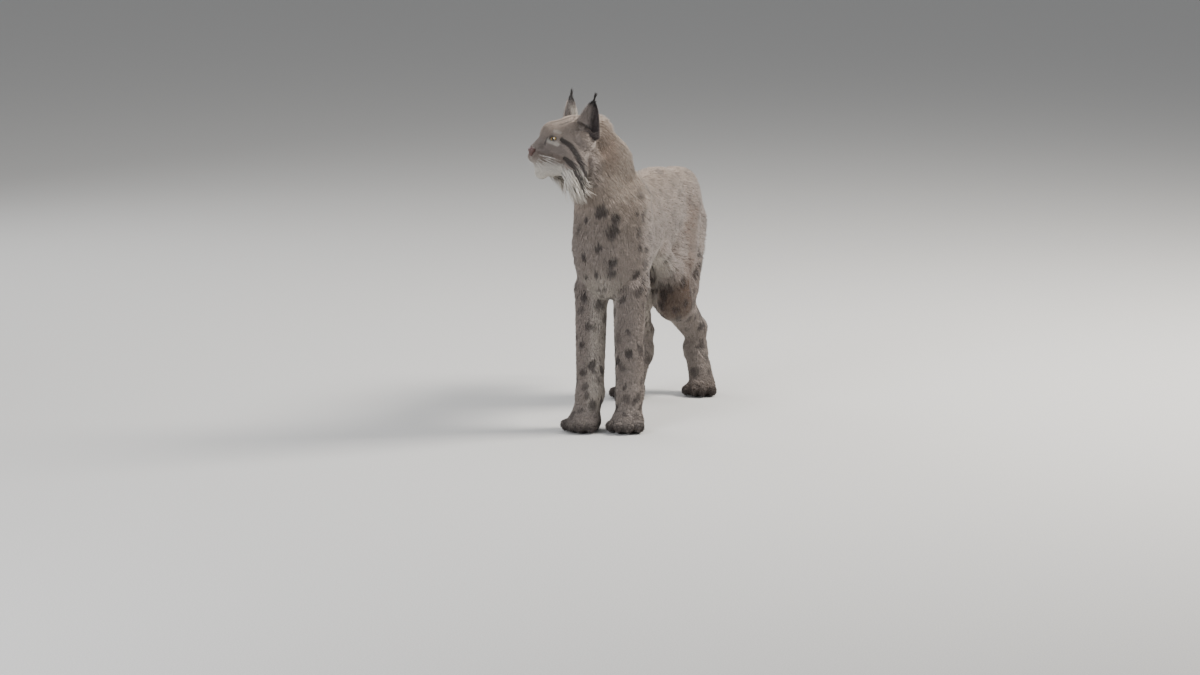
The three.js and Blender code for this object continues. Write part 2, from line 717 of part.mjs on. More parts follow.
addNode(headGroup, "head", makeHead([neck, torso]), COAT);
addNode(headGroup, "nose", makeNose(), NOSE_SKIN);
const clearOfHead = wrap(headSkin, HEAD_SPINE, { ...HEAD_SEGMENTS, swell: 0.5 });
for (const [name, side] of [["left", LEFT], ["right", RIGHT]]) {
  addNode(headGroup, `eye_${name}`, makeEye(side), EYE_SURFACE);
  addNode(headGroup, `ear_${name}`, makeEar(side).subtract(clearOfHead), EAR_COAT);
}

// The part stands on the floor, with the middle of its outline over the origin.
const outline = new THREE.Box3().setFromObject(lynx, true);
const middle = outline.getCenter(v3(0, 0, 0));
lynx.position.set(-middle.x, -middle.y, -outline.min.z);
const part = new THREE.Group();
part.add(lynx);

export default part;
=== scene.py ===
"""The looks of a standing eurasian lynx at life size.

One skin covers the whole body. It starts from the solids, and is then laid on a smooth shape made of rods
and eggs, lying inside them by the depth of the coat. The coat itself is short closed tufts that follow the
lie of the hair.
"""

import math

import bmesh
import bpy
import numpy as np
from mathutils import Matrix, Vector
from mathutils.kdtree import KDTree


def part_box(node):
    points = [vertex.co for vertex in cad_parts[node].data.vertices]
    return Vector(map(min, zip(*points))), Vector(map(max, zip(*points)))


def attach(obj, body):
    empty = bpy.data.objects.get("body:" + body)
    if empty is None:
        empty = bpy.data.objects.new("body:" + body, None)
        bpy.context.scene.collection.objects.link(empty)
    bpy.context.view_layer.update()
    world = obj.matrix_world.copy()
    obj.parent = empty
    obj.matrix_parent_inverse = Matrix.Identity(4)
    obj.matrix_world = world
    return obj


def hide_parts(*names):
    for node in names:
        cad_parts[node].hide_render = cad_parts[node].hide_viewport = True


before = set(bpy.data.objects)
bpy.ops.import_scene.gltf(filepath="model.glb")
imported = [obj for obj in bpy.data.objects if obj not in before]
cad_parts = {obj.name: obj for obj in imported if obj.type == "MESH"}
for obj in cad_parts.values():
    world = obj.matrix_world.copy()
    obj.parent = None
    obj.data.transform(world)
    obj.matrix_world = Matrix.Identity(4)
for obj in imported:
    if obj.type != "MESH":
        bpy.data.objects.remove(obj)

bl_info = {
    "name": "Standing Lynx",
    "version": (1, 0, 0),
    "blender": (4, 5, 0),
    "location": "3D View > Sidebar > Lynx",
    "description": "Builds the skin, coat, eyes and face of a standing lynx",
    "category": "Object",
}

MM = 0.001
DEGREE = math.pi / 180
LEFT, RIGHT = 1, -1
SIDES = {"left": LEFT, "right": RIGHT}

# The animal's own frame, in millimetres: it looks along -Y, its left is +X, its forefeet stand near Y = 0
HEAD = np.array([-61.0, -71.0, 722.0])
HEAD_TURN = -43.5 * DEGREE
EYE = np.array([28.0, -55.0, 10.0])
EYE_RADIUS = 12.0
EYE_GAZE = np.array([0.52, -0.85, 0.02])
OPENING_HALF_WIDTH = 10.5
EAR_ROOT = np.array([44.0, 20.0, 22.0])
EAR_TIP = np.array([64.0, 31.0, 103.0])
EAR_FACING = {LEFT: np.array([0.74, -0.67, 0.0]), RIGHT: np.array([-0.86, -0.5, 0.0])}
EAR_HALF_WIDTH, EAR_HALF_DEPTH = 37.0, 18.5
NOSE = np.array([0.0, -110.0, -20.0])

FORELEGS = {
    LEFT: {"shoulder": (48, 44, 440), "elbow": (50, 56, 345), "wrist": (56, 22, 92), "paw": (57, 4)},
    RIGHT: {"shoulder": (52, 32, 440), "elbow": (43, 40, 345), "wrist": (36, -8, 92), "paw": (44, -26)},
}
HINDLEGS = {
    LEFT: {"hip": (35, 500, 490), "stifle": (46, 354, 284), "hock": (52, 530, 162), "paw": (75, 508)},
    RIGHT: {"hip": (35, 478, 490), "stifle": (48, 308, 288), "hock": (60, 436, 162), "paw": (80, 404)},
}
FOREPAW = {"half_width": 47, "front": 62, "back": 42, "height": 50, "turn_out": 9 * DEGREE}
HINDPAW = {"half_width": 44, "front": 60, "back": 38, "height": 46, "turn_out": 10 * DEGREE}
TAIL_PATH = [(0, 578, 538), (0, 626, 500), (0, 640, 440), (0, 642, 386)]

FLESH = ["torso", "neck", "tail", "tail_tip"] + [
    f"{part}_{side}" for side in SIDES for part in ("foreleg", "forepaw", "thigh", "shank", "hindfoot")
]


def unit(v):
    v = np.asarray(v, float)
    return v / np.maximum(np.linalg.norm(v, axis=-1, keepdims=True), 1e-9)


def turned(v, angle):
    """Vectors turned about the upright axis"""
    c, s = math.cos(angle), math.sin(angle)
    v = np.asarray(v, float)
    return np.stack([c * v[..., 0] - s * v[..., 1], s * v[..., 0] + c * v[..., 1], v[..., 2]], -1)


def to_head(p):
    return turned(p - HEAD, -HEAD_TURN)


def from_head(p):
    return turned(p, HEAD_TURN) + HEAD


def ramp(value, low, high):
    """From 0 below the low end to 1 above the high end, smoothly"""
    t = np.clip((value - low) / (high - low), 0, 1)
    return t * t * (3 - 2 * t)


def find_origin():
    """Where the animal's own frame lies in the part, found from the eyes"""
    centres = [np.array(sum(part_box(f"eye_{side}"), Vector()) / 2) / MM for side in SIDES]
    wanted = [from_head(EYE * (side, 1, 1)) for side in SIDES.values()]
    return np.mean(centres, 0) - np.mean(wanted, 0)


ORIGIN = find_origin()


# Shapes: each is a function of points, below zero inside and growing with the distance from its skin

FAR_AWAY = 3000.0
LONGEST_STEP = 12.0
FLATTEST_SLOPE = 0.25


def egg(center, radii, lean=0.0):
    """An egg by its half sizes, leaning about the line across the animal"""
    center, radii = np.asarray(center, float), np.asarray(radii, float)
    c, s = math.cos(lean), math.sin(lean)

    def shape(p):
        q = p - center
        q = np.stack([q[:, 0], q[:, 1] * c - q[:, 2] * s, q[:, 1] * s + q[:, 2] * c], -1) / radii
        stretched = np.linalg.norm(q, axis=1)
        slope = np.linalg.norm(q / radii, axis=1)
        return stretched * (stretched - 1) / np.maximum(slope, 1e-6)

    return shape


def rod(start, end, start_radius, end_radius):
    """A round-ended rod that may taper"""
    start, end = np.asarray(start, float), np.asarray(end, float)
    along = end - start

    def shape(p):
        t = np.clip((p - start) @ along / (along @ along), 0, 1)
        radius = start_radius + (end_radius - start_radius) * t
        return np.linalg.norm(p - start - t[:, None] * along, axis=1) - radius

    return shape


def blend(softness, *shapes):
    """Shapes joined, with the corners between them filled"""
    def shape(p):
        nearest = np.full(len(p), FAR_AWAY)
        for each in shapes:
            following = each(p)
            overlap = np.maximum(softness - np.abs(nearest - following), 0) / softness
            nearest = np.minimum(nearest, following) - overlap * overlap * softness / 4
        return nearest

    return shape


def hollowed(shape, *tools):
    """A shape with others cut out of it"""
    return lambda p: np.maximum.reduce([shape(p)] + [-tool(p) for tool in tools])


def slope_of(shape, p, small=0.5):
    steps = np.eye(3) * small
    return np.stack([(shape(p + step) - shape(p - step)) / (2 * small) for step in steps], -1)


def laid_on(shape, p, depth=0.0, rounds=4):
    """Points moved along the slope of a shape until they lie inside its skin by a depth"""
    for _ in range(rounds):
        slope = slope_of(shape, p)
        room = (shape(p) + depth) / np.maximum((slope * slope).sum(1), FLATTEST_SLOPE)
        p = p - slope * np.clip(room, -LONGEST_STEP, LONGEST_STEP)[:, None]
    return p


def sided(side, point):
    """A point of the left side, taken to either side"""
    return np.asarray(point, float) * (side, 1, 1)


def shoulder_shape(side, leg):
    x, y, z = leg["shoulder"]
    elbow = np.array(leg["elbow"])
    return blend(
        24,
        egg((side * 42, y + 24, 470), (40, 72, 118), 8 * DEGREE),
        rod((side * (x - 8), y - 30, z + 20), sided(side, elbow), 36, 34),
        rod((side * (x - 4), y + 30, z), sided(side, elbow + (0, 6, 10)), 40, 34),
    )


def thigh_shape(side, leg):
    hip, stifle = np.array(leg["hip"]), np.array(leg["stifle"])
    lean = math.atan2(hip[1] - stifle[1] - 20, hip[2] - stifle[2])
    middle = (hip + stifle) / 2
    return blend(
        24,
        egg((side * 38, middle[1] + 12, middle[2] + 4), (41, 88, 158), lean),
        rod(sided(side, hip + (0, 36, -40)), sided(side, stifle + (6, 106, 8)), 40, 31),
        rod(sided(side, stifle + (0, 10, 30)), sided(side, stifle + (0, 20, -24)), 38, 38),
        rod(sided(side, stifle + (0, 12, 40)), (side * 34, stifle[1] - 76, stifle[2] + 126), 32, 28),
    )


def foreleg_shape(side, leg):
    elbow, wrist = np.array(leg["elbow"]), np.array(leg["wrist"])
    paw = (side * leg["paw"][0], leg["paw"][1] + 8, 36)
    return blend(
        16,
        rod(sided(side, elbow + (0, -22, 0)), sided(side, wrist), 40, 33.5),
        rod(sided(side, elbow + (0, 12, 0)), sided(side, wrist + (0, 16, 70)), 31, 19),
        rod(sided(side, wrist), paw, 32, 34),
    )


def shank_shape(side, leg):
    stifle, hock = np.array(leg["stifle"]), np.array(leg["hock"])
    return blend(
        18,
        rod(sided(side, stifle + (0, 12, -16)), sided(side, hock + (0, -16, 6)), 39, 30),
        rod(sided(side, stifle + (0, 72, -10)), sided(side, hock + (0, 6, 12)), 30, 19),
    )


def metatarsus_shape(side, leg):
    hock = np.array(leg["hock"])
    paw = (side * leg["paw"][0], leg["paw"][1] + 8, 34)
    return blend(
        14,
        rod(sided(side, hock + (0, 4, 8)), sided(side, hock + (0, -3, -50)), 27, 28),
        rod(sided(side, hock + (0, -4, -40)), paw, 28, 31),
    )


def paw_shape(side, leg, size):
    """The palm and four toes"""
    turn = side * size["turn_out"]
    c, s = math.cos(turn), math.sin(turn)
    wide, front, high = size["half_width"], size["front"], size["height"]

    def place(across, forward, up):
        return np.array([
            side * leg["paw"][0] + c * across + s * forward,
            leg["paw"][1] + s * across - c * forward,
            up,
        ])

    toes = []
    for step in (-1.5, -0.5, 0.5, 1.5):
        middle = place(step * wide * 0.46, front * (0.58 - 0.11 * step * step), high * 0.34)
        angle = turn + step * 8 * DEGREE
        ahead = np.array([math.sin(angle), -math.cos(angle), 0]) * front * 0.16
        toes.append(rod(middle - ahead * 1.2 + (0, 0, 3), middle + ahead, wide * 0.29, wide * 0.3))
    palm = egg(place(0, 2, high * 0.4), (wide * 0.84, size["back"] + 4, high * 0.62))
    return blend(5, palm, *toes)


def trunk_shape():
    core = blend(
        36,
        egg((0, 100, 470), (80, 170, 150)),
        egg((0, 76, 540), (50, 104, 86)),
        egg((0, -16, 442), (62, 62, 116), -13 * DEGREE),
        egg((0, 318, 491), (72, 236, 117)),
        egg((0, 500, 504), (66, 94, 84)),
        rod((0, 548, 536), (0, 588, 522), 34, 28),
    )
    shoulders = [shoulder_shape(side, leg) for side, leg in FORELEGS.items()]
    thighs = [thigh_shape(side, leg) for side, leg in HINDLEGS.items()]
    return blend(26, core, *shoulders, *thighs)


def neck_shape():
    return blend(
        30,
        rod((0, 70, 562), (-8, 18, 662), 78, 58),
        rod((-8, 18, 662), (-24, -24, 732), 58, 49),
        rod((0, -12, 520), (-24, -34, 660), 66, 50),
    )


def head_parts():
    """The head's eggs and rods in its own frame: those of the skull, then those of the muzzle"""
    skull = [
        (egg, (0, 6, 2), (52, 66, 58)),
        (egg, (0, -42, 18), (36, 37, 32)),
        (rod, (0, 0, -10), (0, -80, -34), 44, 22),
        (rod, (0, -54, 18), (0, -97, -15), 16, 12),
        (rod, (0, -50, -56), (0, 20, -54), 25, 40),
    ]
    for side in SIDES.values():
        skull += [
            (egg, (side * 34, -16, -24), (30, 44, 40)),
            (egg, (side * 20, -56, -2), (20, 20, 20)),
            (rod, (side * 10, -72, -66), (side * 34, -4, -54), 15, 27),
            (egg, (side * EYE[0], EYE[1] + 1, EYE[2]), (15.4, 14.6, 15)),
            (egg, (side * 48, 14, 4), (19, 26, 28)),
            (egg, (side * 42, -12 if side == LEFT else 6, -66), (20, 28, 38)),
        ]
    muzzle = [
        (egg, (13, -82, -35), (18, 26, 18)),
        (egg, (-13, -82, -35), (18, 26, 18)),
        (egg, (0, -78, -70), (19, 18, 19)),
        (egg, (0, -79, -54), (19, 20, 14)),
    ]
    return skull, muzzle


def head_shape():
    skull, muzzle = [[make(*sizes) for make, *sizes in parts] for parts in head_parts()]
    return blend(8, blend(10, *skull), blend(5, *muzzle))


def tail_shape():
    root, high, low, tip = TAIL_PATH
    return blend(12, rod(root, high, 27, 25), rod(high, low, 25, 24), rod(low, tip, 24, 19))


def body_shape():
    whole = blend(36, trunk_shape(), neck_shape())
    for side in SIDES.values():
        fore, hind = FORELEGS[side], HINDLEGS[side]
        whole = blend(20, whole, foreleg_shape(side, fore))
        whole = blend(16, whole, paw_shape(side, fore, FOREPAW))
        whole = blend(34, whole, shank_shape(side, hind))
        whole = blend(14, whole, metatarsus_shape(side, hind))
        whole = blend(12, whole, paw_shape(side, hind, HINDPAW))
    return blend(12, whole, tail_shape())


HEAD_FORM = head_shape()
BODY_FORM = body_shape()
WHOLE_FORM = blend(20, BODY_FORM, lambda p: HEAD_FORM(to_head(p)))


# The mouth and the eyes' openings

def mouth_path(count=49):
    """Points on the skin from one corner of the mouth, round the front, to the other"""
    points = []
    for step in np.linspace(-1, 1, count):
        t = abs(step)
        turn = math.copysign(min(1, t * 1.5) * 90 * DEGREE, step)
        start = np.array([0, -82 + 34 * t, -51 - 12 * t])
        ahead = unit((math.sin(turn), -math.cos(turn), -0.12))
        reach = np.linspace(0, 120, 241)
        ray = start + reach[:, None] * ahead
        points.append(ray[int(np.argmax(HEAD_FORM(ray) > 0))])
    return np.array(points)


MOUTH = mouth_path()


def cord_along(path, radius):
    """A round cord through close points"""
    def shape(p):
        gaps = np.linalg.norm(p[:, None, :] - path[None, :, :], axis=2)
        return gaps.min(1) - radius

    return shape


def eye_frame(side):
    """Across towards the outer corner, up, and out along the gaze"""
    gaze = unit(EYE_GAZE * (side, 1, 1))
    across = unit(np.cross((0, 0, 1), gaze)) * side
    upward = np.cross(gaze, across) * side
    return EYE * (side, 1, 1), across, upward, gaze


def lid_edge(u):
    """Heights of the upper and lower lid's edge across the eye, from the inner corner to the outer"""
    t = np.clip((u + OPENING_HALF_WIDTH) / (2 * OPENING_HALF_WIDTH), 0, 1)
    tilt = -2.2 + 4.8 * t
    return tilt + 10.8 * np.sqrt(t * (1 - t)), tilt - 8.6 * np.sqrt(t * (1 - t))


def almond(side):
    """The opening between the lids"""
    centre, across, upward, gaze = eye_frame(side)

    def shape(p):
        q = p - centre
        u, v, w = q @ across, q @ upward, q @ gaze
        top, bottom = lid_edge(u)
        return np.maximum.reduce([v - top, bottom - v, np.abs(u) - OPENING_HALF_WIDTH, -w])

    return shape


# The coat: how long, wide and raised the hair is, and which way it lies, over the whole body

def zones(p):
    """How far each named zone holds at each point, from 0 to 1"""
    h = to_head(p)
    _, y, z = p.T
    lower = 1 - ramp(z, 300, 390)
    fore = lower * (1 - ramp(y, 170, 220))
    hind = lower * ramp(y, 170, 220)
    head = (1 - ramp(h[:, 1], 26, 58)) * ramp(z, 600, 640)
    face = (1 - ramp(h[:, 1], -34, -10)) * head * ramp(h[:, 2], -95, -80)
    paw = 1 - ramp(z, 40, 75)
    tail = ramp(y, 596, 622) * ramp(z, 340, 380)
    belly = (1 - ramp(z, 380, 430)) * ramp(y, 90, 150) * (1 - ramp(y, 420, 470))
    ruff = head * ramp(np.abs(h[:, 0]), 22, 40) * (1 - ramp(h[:, 2], -50, -26)) * ramp(h[:, 1], -56, -34)
    ruff = ruff * (1 - ramp(h[:, 1], 18, 36))
    neck = ramp(z, 540, 620) * (1 - head)
    chest = (1 - ramp(y, 0, 70)) * ramp(z, 280, 340) * (1 - ramp(z, 560, 620))
    return {
        "head": head, "face": face, "fore": fore, "hind": hind, "leg": np.maximum(fore, hind), "paw": paw,
        "tail": tail, "belly": belly * (1 - paw), "ruff": ruff, "neck": neck, "chest": chest,
    }


def mixed(value, *steps):
    """A value changed in turn by each (zone, value)"""
    for zone, other in steps:
        value = value * (1 - zone) + other * zone
    return value


# The hair of the body, then of each zone laid over it in turn, in millimetres, and radians for the lift
HAIR = {
    "depth": {
        "body": 5.2, "belly": 7.0, "leg": 3.4, "paw": 2.6, "neck": 5.8, "head": 2.8, "ruff": 4.5, "face": 1.4,
        "tail": 5.4,
    },
    "length": {
        "body": 23.0, "belly": 31.0, "leg": 12.5, "paw": 8.5, "neck": 27.0, "head": 10.0, "ruff": 24.0,
        "face": 4.6, "tail": 20.0,
    },
    "width": {"body": 2.45, "leg": 2.15, "paw": 1.9, "neck": 2.3, "head": 1.7, "face": 1.2, "ruff": 2.1},
    "lift": {
        "body": 0.24, "belly": 0.24, "leg": 0.29, "paw": 0.32, "neck": 0.23, "head": 0.32, "ruff": 0.28,
        "face": 0.32, "tail": 0.3,
    },
}
# Which way the hair lies, likewise
LIE = {
    "body": (0, 1, -0.42), "neck": (0.06, 0.55, -0.84), "chest": (0, 0.22, -1), "belly": (0, 1, -0.25),
    "fore": (0, 0.12, -1), "hind": (0, 0.32, -1), "paw": (0, -0.8, -0.75), "tail": (0, 0.05, -1),
}


def hair(quality, p):
    """The hair's length, width or lift at each point, or how deep the skin lies below its outline"""
    (_, value), *by_zone = HAIR[quality].items()
    zone = zones(p)
    return mixed(np.full(len(p), value), *((zone[name], other) for name, other in by_zone))


def along_skin(vectors, normals):
    """What is left of each vector when it is pressed onto the skin"""
    return vectors - (vectors * normals).sum(1, keepdims=True) * normals


def lie_of_hair(p, normals):
    """Unit vectors along the skin, the way the hair lies"""
    h = to_head(p)
    zone = {name: share[:, None] for name, share in zones(p).items()}
    (_, backwards), *by_zone = LIE.items()
    flow = mixed(
        np.tile(unit(backwards), (len(p), 1)), *((zone[name], unit(other)) for name, other in by_zone))
    from_nose = unit(h - (NOSE + (0, 14, 4)))
    sideways = np.sign(h[:, 0]) * 0.25
    cheek = unit(np.stack([sideways, np.full(len(p), 0.35), np.full(len(p), -1.0)], -1))
    on_head = mixed(from_nose, (zone["ruff"], cheek))
    flow = mixed(flow, (zone["head"], turned(on_head, HEAD_TURN)))
    return unit(along_skin(flow, normals))


# The markings: one set of colours for skin and coat

GREY_BROWN = np.array([0.268, 0.226, 0.202])
BACK_BROWN = np.array([0.345, 0.278, 0.225])
PALE = np.array([0.540, 0.490, 0.435])
WHITE = np.array([0.680, 0.640, 0.580])
DARK = np.array([0.036, 0.028, 0.027])
BROWN = np.array([0.110, 0.066, 0.043])

SPOT_SEED = 11
SPOT_GAP = 33.0
# Across, up and radius
CHEST_SPOTS = (
    (15, 569, 13), (30, 566, 9), (70, 556, 12), (57, 520, 15), (40, 512, 10), (15, 480, 9), (70, 433, 13),
    (62, 398, 12), (-45, 516, 9), (-22, 545, 8), (30, 440, 8), (-30, 450, 9), (5, 405, 10), (-42, 385, 9),
)
BEHIND_EAR = np.array([44.0, 74.0, -12.0])

# Stripes of the left side of the face, in the head's frame: a path and its half width
STRIPES = {
    # The muzzle's path carries painted shade along the side of the muzzle, laid as brown
    "muzzle": ([(12, -100, -28), (24, -84, -34), (34, -62, -34), (42, -46, -36)], 13),
    "under_eye": ([EYE + (-7, -8, -9), EYE + (6, -2, -10)], 7),
    "brow": ([EYE + (-5, 0, 14), EYE + (6, 6, 13)], 6),
    "cheek": ([EYE + (9, 6, -2), (45, -28, -10), (55, -19, -27), (62, -1, -52), (60, 26, -72)], 8.5),
    "jaw": ([(45, -39, -32), (56, -25, -47), (58, -12, -67), (58, 3, -88)], 7.0),
    "inner_corner": ([EYE + (-9, -8, -4), EYE + (-15, -22, -14)], 3.6),
    "forehead": ([(7, -58, 44), (10, -20, 62), (12, 20, 62)], 3.6),
    "temple": ([(22, -44, 40), (25, -14, 52), (26, 16, 54)], 3.2),
}
WHISKER_ROWS = 4
STRIPES.update({
    f"whisker_row_{row}": ([(8 + row, -104 + row * 1.5, -31 - row * 4.2), (27, -84, -31 - row * 4.2)], 1.5)
    for row in range(WHISKER_ROWS)
})


def seeded(seed):
    return np.random.default_rng(seed)


def noise(p, size, seed, waves=10):
    """Soft value noise from about -1 to 1, from random waves"""
    rng = seeded(seed)
    total = np.zeros(len(p))
    for _ in range(waves):
        direction = unit(rng.normal(size=3))
        total += np.sin(p @ direction * (2 * math.pi / size) * rng.uniform(0.7, 1.4) + rng.uniform(0, 6.28))
    return total / 4.5


def laid(colour, other, amount):
    """A colour with another laid over it, by an amount from 0 to 1"""
    return colour + (other - colour) * np.clip(amount, 0, 1)[:, None]


def spot_places():
    """Scattered spots, from a shaken grid through the body, and those of the chest, listed one by one"""
    rng = seeded(SPOT_SEED)
    grid = np.mgrid[-140:141:SPOT_GAP, -120:681:SPOT_GAP, 60:661:SPOT_GAP].reshape(3, -1).T
    places = grid + rng.uniform(-0.42, 0.42, grid.shape) * SPOT_GAP
    places = places[np.abs(WHOLE_FORM(places)) < 14]
    places = laid_on(WHOLE_FORM, places)
    on_chest = (places[:, 1] < 10) & (places[:, 2] > 370)
    places = places[~on_chest]
    radii, strength = rng.uniform(6.5, 12.5, len(places)), rng.uniform(0.5, 1.0, len(places))
    chest = np.array([(x, -88, z) for x, z, _ in CHEST_SPOTS], float)
    chest = laid_on(BODY_FORM, chest, rounds=12)
    places = np.concatenate([places, chest])
    radii = np.concatenate([radii, [radius for _, _, radius in CHEST_SPOTS]])
    return places, radii, np.concatenate([strength, np.ones(len(chest))])


SPOTS = spot_places()


def spot_strength(p):
    """How dark the spots are at each point, with ragged edges"""
    wobble = noise(p, 20, seed=3) * 3.6 + noise(p, 9, seed=4) * 1.2
    best = np.zeros(len(p))
    for place, radius, dark in zip(*SPOTS):
        near = np.abs(p[:, 2] - place[2]) < radius * 2.6
        if not near.any():
            continue
        gap = (p[near] - place) * (1, 0.8, 0.72)
        inside = 1 - ramp(np.linalg.norm(gap, axis=1) + wobble[near], radius * 0.66, radius * 1.12)
        best[near] = np.maximum(best[near], inside * dark)
    return best


def ground_colour(p, zone):
    """Grey-brown, browner along the back, and pale below and between the legs"""
    x, _, z = p.T
    colour = laid(np.tile(GREY_BROWN, (len(p), 1)), BACK_BROWN, ramp(z, 470, 620) * 0.7)
    colour = colour * (1 + 0.10 * noise(p, 90, seed=5)[:, None])
    downwards = -unit(slope_of(WHOLE_FORM, p))[:, 2]
    under = ramp(downwards, 0.15, 0.75) * ramp(z, 300, 400) * (1 - zone["head"])
    colour = laid(colour, PALE, under * 0.8)
    between_legs = (1 - ramp(np.abs(x), 22, 40)) * (1 - ramp(z, 330, 420)) * (1 - zone["paw"])
    colour = laid(colour, PALE, between_legs * 0.55)
    return laid(colour, PALE, (1 - ramp(z, 60, 240)) * 0.12)


def with_dark_fur_and_shade(colour, p):
    """Brown on the thigh, partly painted shade, painted shade up the haunch, brown behind the ear and on the
    hind feet, and dark feet near the floor, partly painted shade
    """
    x, y, z = p.T
    stifle = np.where(x > 0, 352, 310) + noise(p, 60, seed=8) * 9
    # Partly a dark brown marking on the stifle, partly painted shade on the front of the thigh
    thigh = 1 - ramp(np.hypot((y - stifle) * 0.8, (z - 276) * 0.75), 26, 52)
    colour = laid(colour, BROWN, thigh * 0.72 * ramp(np.abs(x), 14, 34) * ramp(y, 250, 290))
    # Painted shade: a brown band up the back of the thigh, where shade falls between thigh and rump
    haunch_shade = 1 - ramp(np.abs(y - stifle - 24 - (z - 300) * 0.34), 20, 46)
    colour = laid(colour, BROWN * 1.2, haunch_shade * ramp(z, 280, 330) * (1 - ramp(z, 480, 550)) * 0.58)
    behind_ear = 1 - ramp(np.linalg.norm((p - from_head(BEHIND_EAR)) * (1, 1, 0.6), axis=1), 16, 42)
    colour = laid(colour, BROWN * 1.4, behind_ear * 0.45)
    hind_foot = (1 - ramp(z, 20, 62)) * ramp(y, 300, 340)
    colour = laid(colour, BROWN, hind_foot * 0.45)
    # Darker towards the floor: dark fur and dirt on the feet, with painted shade where they meet the floor
    return laid(colour, DARK, (1 - ramp(z + noise(p, 30, seed=9) * 4, 14, 36)) * 0.80)


def markings(p):
    """Base colour, linear, at points on the skin"""
    zone = zones(p)
    _, y, z = p.T
    colour = with_dark_fur_and_shade(ground_colour(p, zone), p)
    spots = spot_strength(p) * (1 - zone["head"]) * (1 - zone["paw"] * 0.4) * (1 - zone["tail"])
    on_flank = ramp(y, 60, 160) * ramp(z, 360, 420)
    fade = mixed(np.full(len(p), 0.88), (on_flank, 0.42), (zone["neck"], 0.6))
    colour = laid(colour, DARK * 1.2, spots * fade)
    tip = 1 - ramp(z, 408, 428)
    colour = laid(colour, DARK * 0.5, tip * zone["tail"])
    colour = laid(colour, face_colour(to_head(p)), zone["head"])
    return np.clip(colour, 0.004, 0.9)


def stripe(h, name):
    """How much of a face stripe holds at points in the head's frame, alike on both sides"""
    path, width = STRIPES[name]
    q = np.stack([np.abs(h[:, 0]), h[:, 1], h[:, 2]], -1)
    path = laid_on(HEAD_FORM, np.asarray(path, float), 1.5, rounds=6)
    best = np.full(len(h), 1e9)
    for a, b in zip(path[:-1], path[1:]):
        along = b - a
        t = np.clip((q - a) @ along / (along @ along), 0, 1)
        best = np.minimum(best, np.linalg.norm(q - a - t[:, None] * along, axis=1))
    return 1 - ramp(best, width * 0.5, width)


def face_colour(h):
    """The face's colour at points in the head's frame, laid from the ground up"""
    side, back, up = np.abs(h[:, 0]), h[:, 1], h[:, 2]
    face = laid(np.tile(GREY_BROWN * 1.05, (len(h), 1)), BACK_BROWN, ramp(up, -10, 40) * 0.6)
    cheek = (1 - ramp(up, -60, -40)) * (1 - ramp(back, -2, 22))
    face = laid(face, WHITE, cheek * 0.8)
    chin = (1 - ramp(up, -62, -48)) * (1 - ramp(back, -52, -20))
    face = laid(face, WHITE, chin * 0.85)
    lips = (1 - ramp(np.abs(up + 38), 9, 20)) * (1 - ramp(back, -72, -56))
    face = laid(face, PALE, lips * 0.3)
    # Painted shade: brown along the side of the muzzle, whose fur is pale
    face = laid(face, BROWN * 1.2, stripe(h, "muzzle") * 0.4)
    throat = (1 - ramp(up, -84, -64)) * ramp(back, -30, 0) * (1 - ramp(back, 10, 34))
    face = laid(face, PALE, throat * 0.6)
    face = laid(face, WHITE, stripe(h, "under_eye") * 0.75)
    face = laid(face, PALE, stripe(h, "brow") * 0.6)
    from_eye = (np.stack([side, back, up], -1) - EYE) * (1, 0.8, 1.15)
    rim = 1 - ramp(np.linalg.norm(from_eye, axis=1), 12, 15.5)
    face = laid(face, DARK, rim * 0.85)
    face = laid(face, DARK, stripe(h, "cheek") * 0.95)
    face = laid(face, DARK, stripe(h, "jaw") * 0.9)
    face = laid(face, DARK, stripe(h, "inner_corner") * 0.6)
    face = laid(face, DARK, np.maximum(stripe(h, "forehead"), stripe(h, "temple")) * 0.5)
    rows = np.maximum.reduce([stripe(h, f"whisker_row_{row}") for row in range(WHISKER_ROWS)])
    face = laid(face, DARK, rows * 0.6)
    mouth = 1 - ramp(cord_along(MOUTH, 0)(h), 1.5, 3.5)
    return laid(face, DARK, mouth * 0.8)


# Meshes

def to_part(p):
    return (p + ORIGIN) * MM


def to_animal(co):
    return co / MM - ORIGIN


def values_of(items, field, width, kind=np.float32):
    """One field of a mesh's vertices, edges or corners, as the rows of an array"""
    values = np.empty(len(items) * width, kind)
    items.foreach_get(field, values)
    return values.reshape(-1, width)


def places_of(mesh):
    return to_animal(values_of(mesh.vertices, "co", 3).astype(float))


def set_places(mesh, p):
    mesh.vertices.foreach_set("co", to_part(p).astype(np.float32).ravel())
    mesh.update()


def finished(mesh, name):
    """The mesh that holds what a bmesh has built, which is then let go"""
    made = bpy.data.meshes.new(name)
    mesh.to_mesh(made)
    mesh.free()
    return made


def facing_out(mesh):
    """The same bmesh, with its faces turned outwards"""
    bmesh.ops.recalc_face_normals(mesh, faces=mesh.faces)
    return mesh


def new_object(name, mesh):
    mesh.name = name
    piece = bpy.data.objects.new(name, mesh)
    bpy.context.scene.collection.objects.link(piece)
    return piece


def applied(piece):
    """Keeps the mesh that the modifiers make, and drops them"""
    depsgraph = bpy.context.evaluated_depsgraph_get()
    mesh = bpy.data.meshes.new_from_object(piece.evaluated_get(depsgraph))
    old = piece.data
    piece.modifiers.clear()
    piece.data = mesh
    bpy.data.meshes.remove(old)
    mesh.name = piece.name


def shade_smooth(piece):
    piece.data.polygons.foreach_set("use_smooth", np.ones(len(piece.data.polygons), bool))


def set_colours(mesh, colours):
    layer = mesh.color_attributes.new("coat", "FLOAT_COLOR", "POINT")
    full = np.ones((len(colours), 4), np.float32)
    full[:, :3] = colours
    layer.data.foreach_set("color", full.ravel())


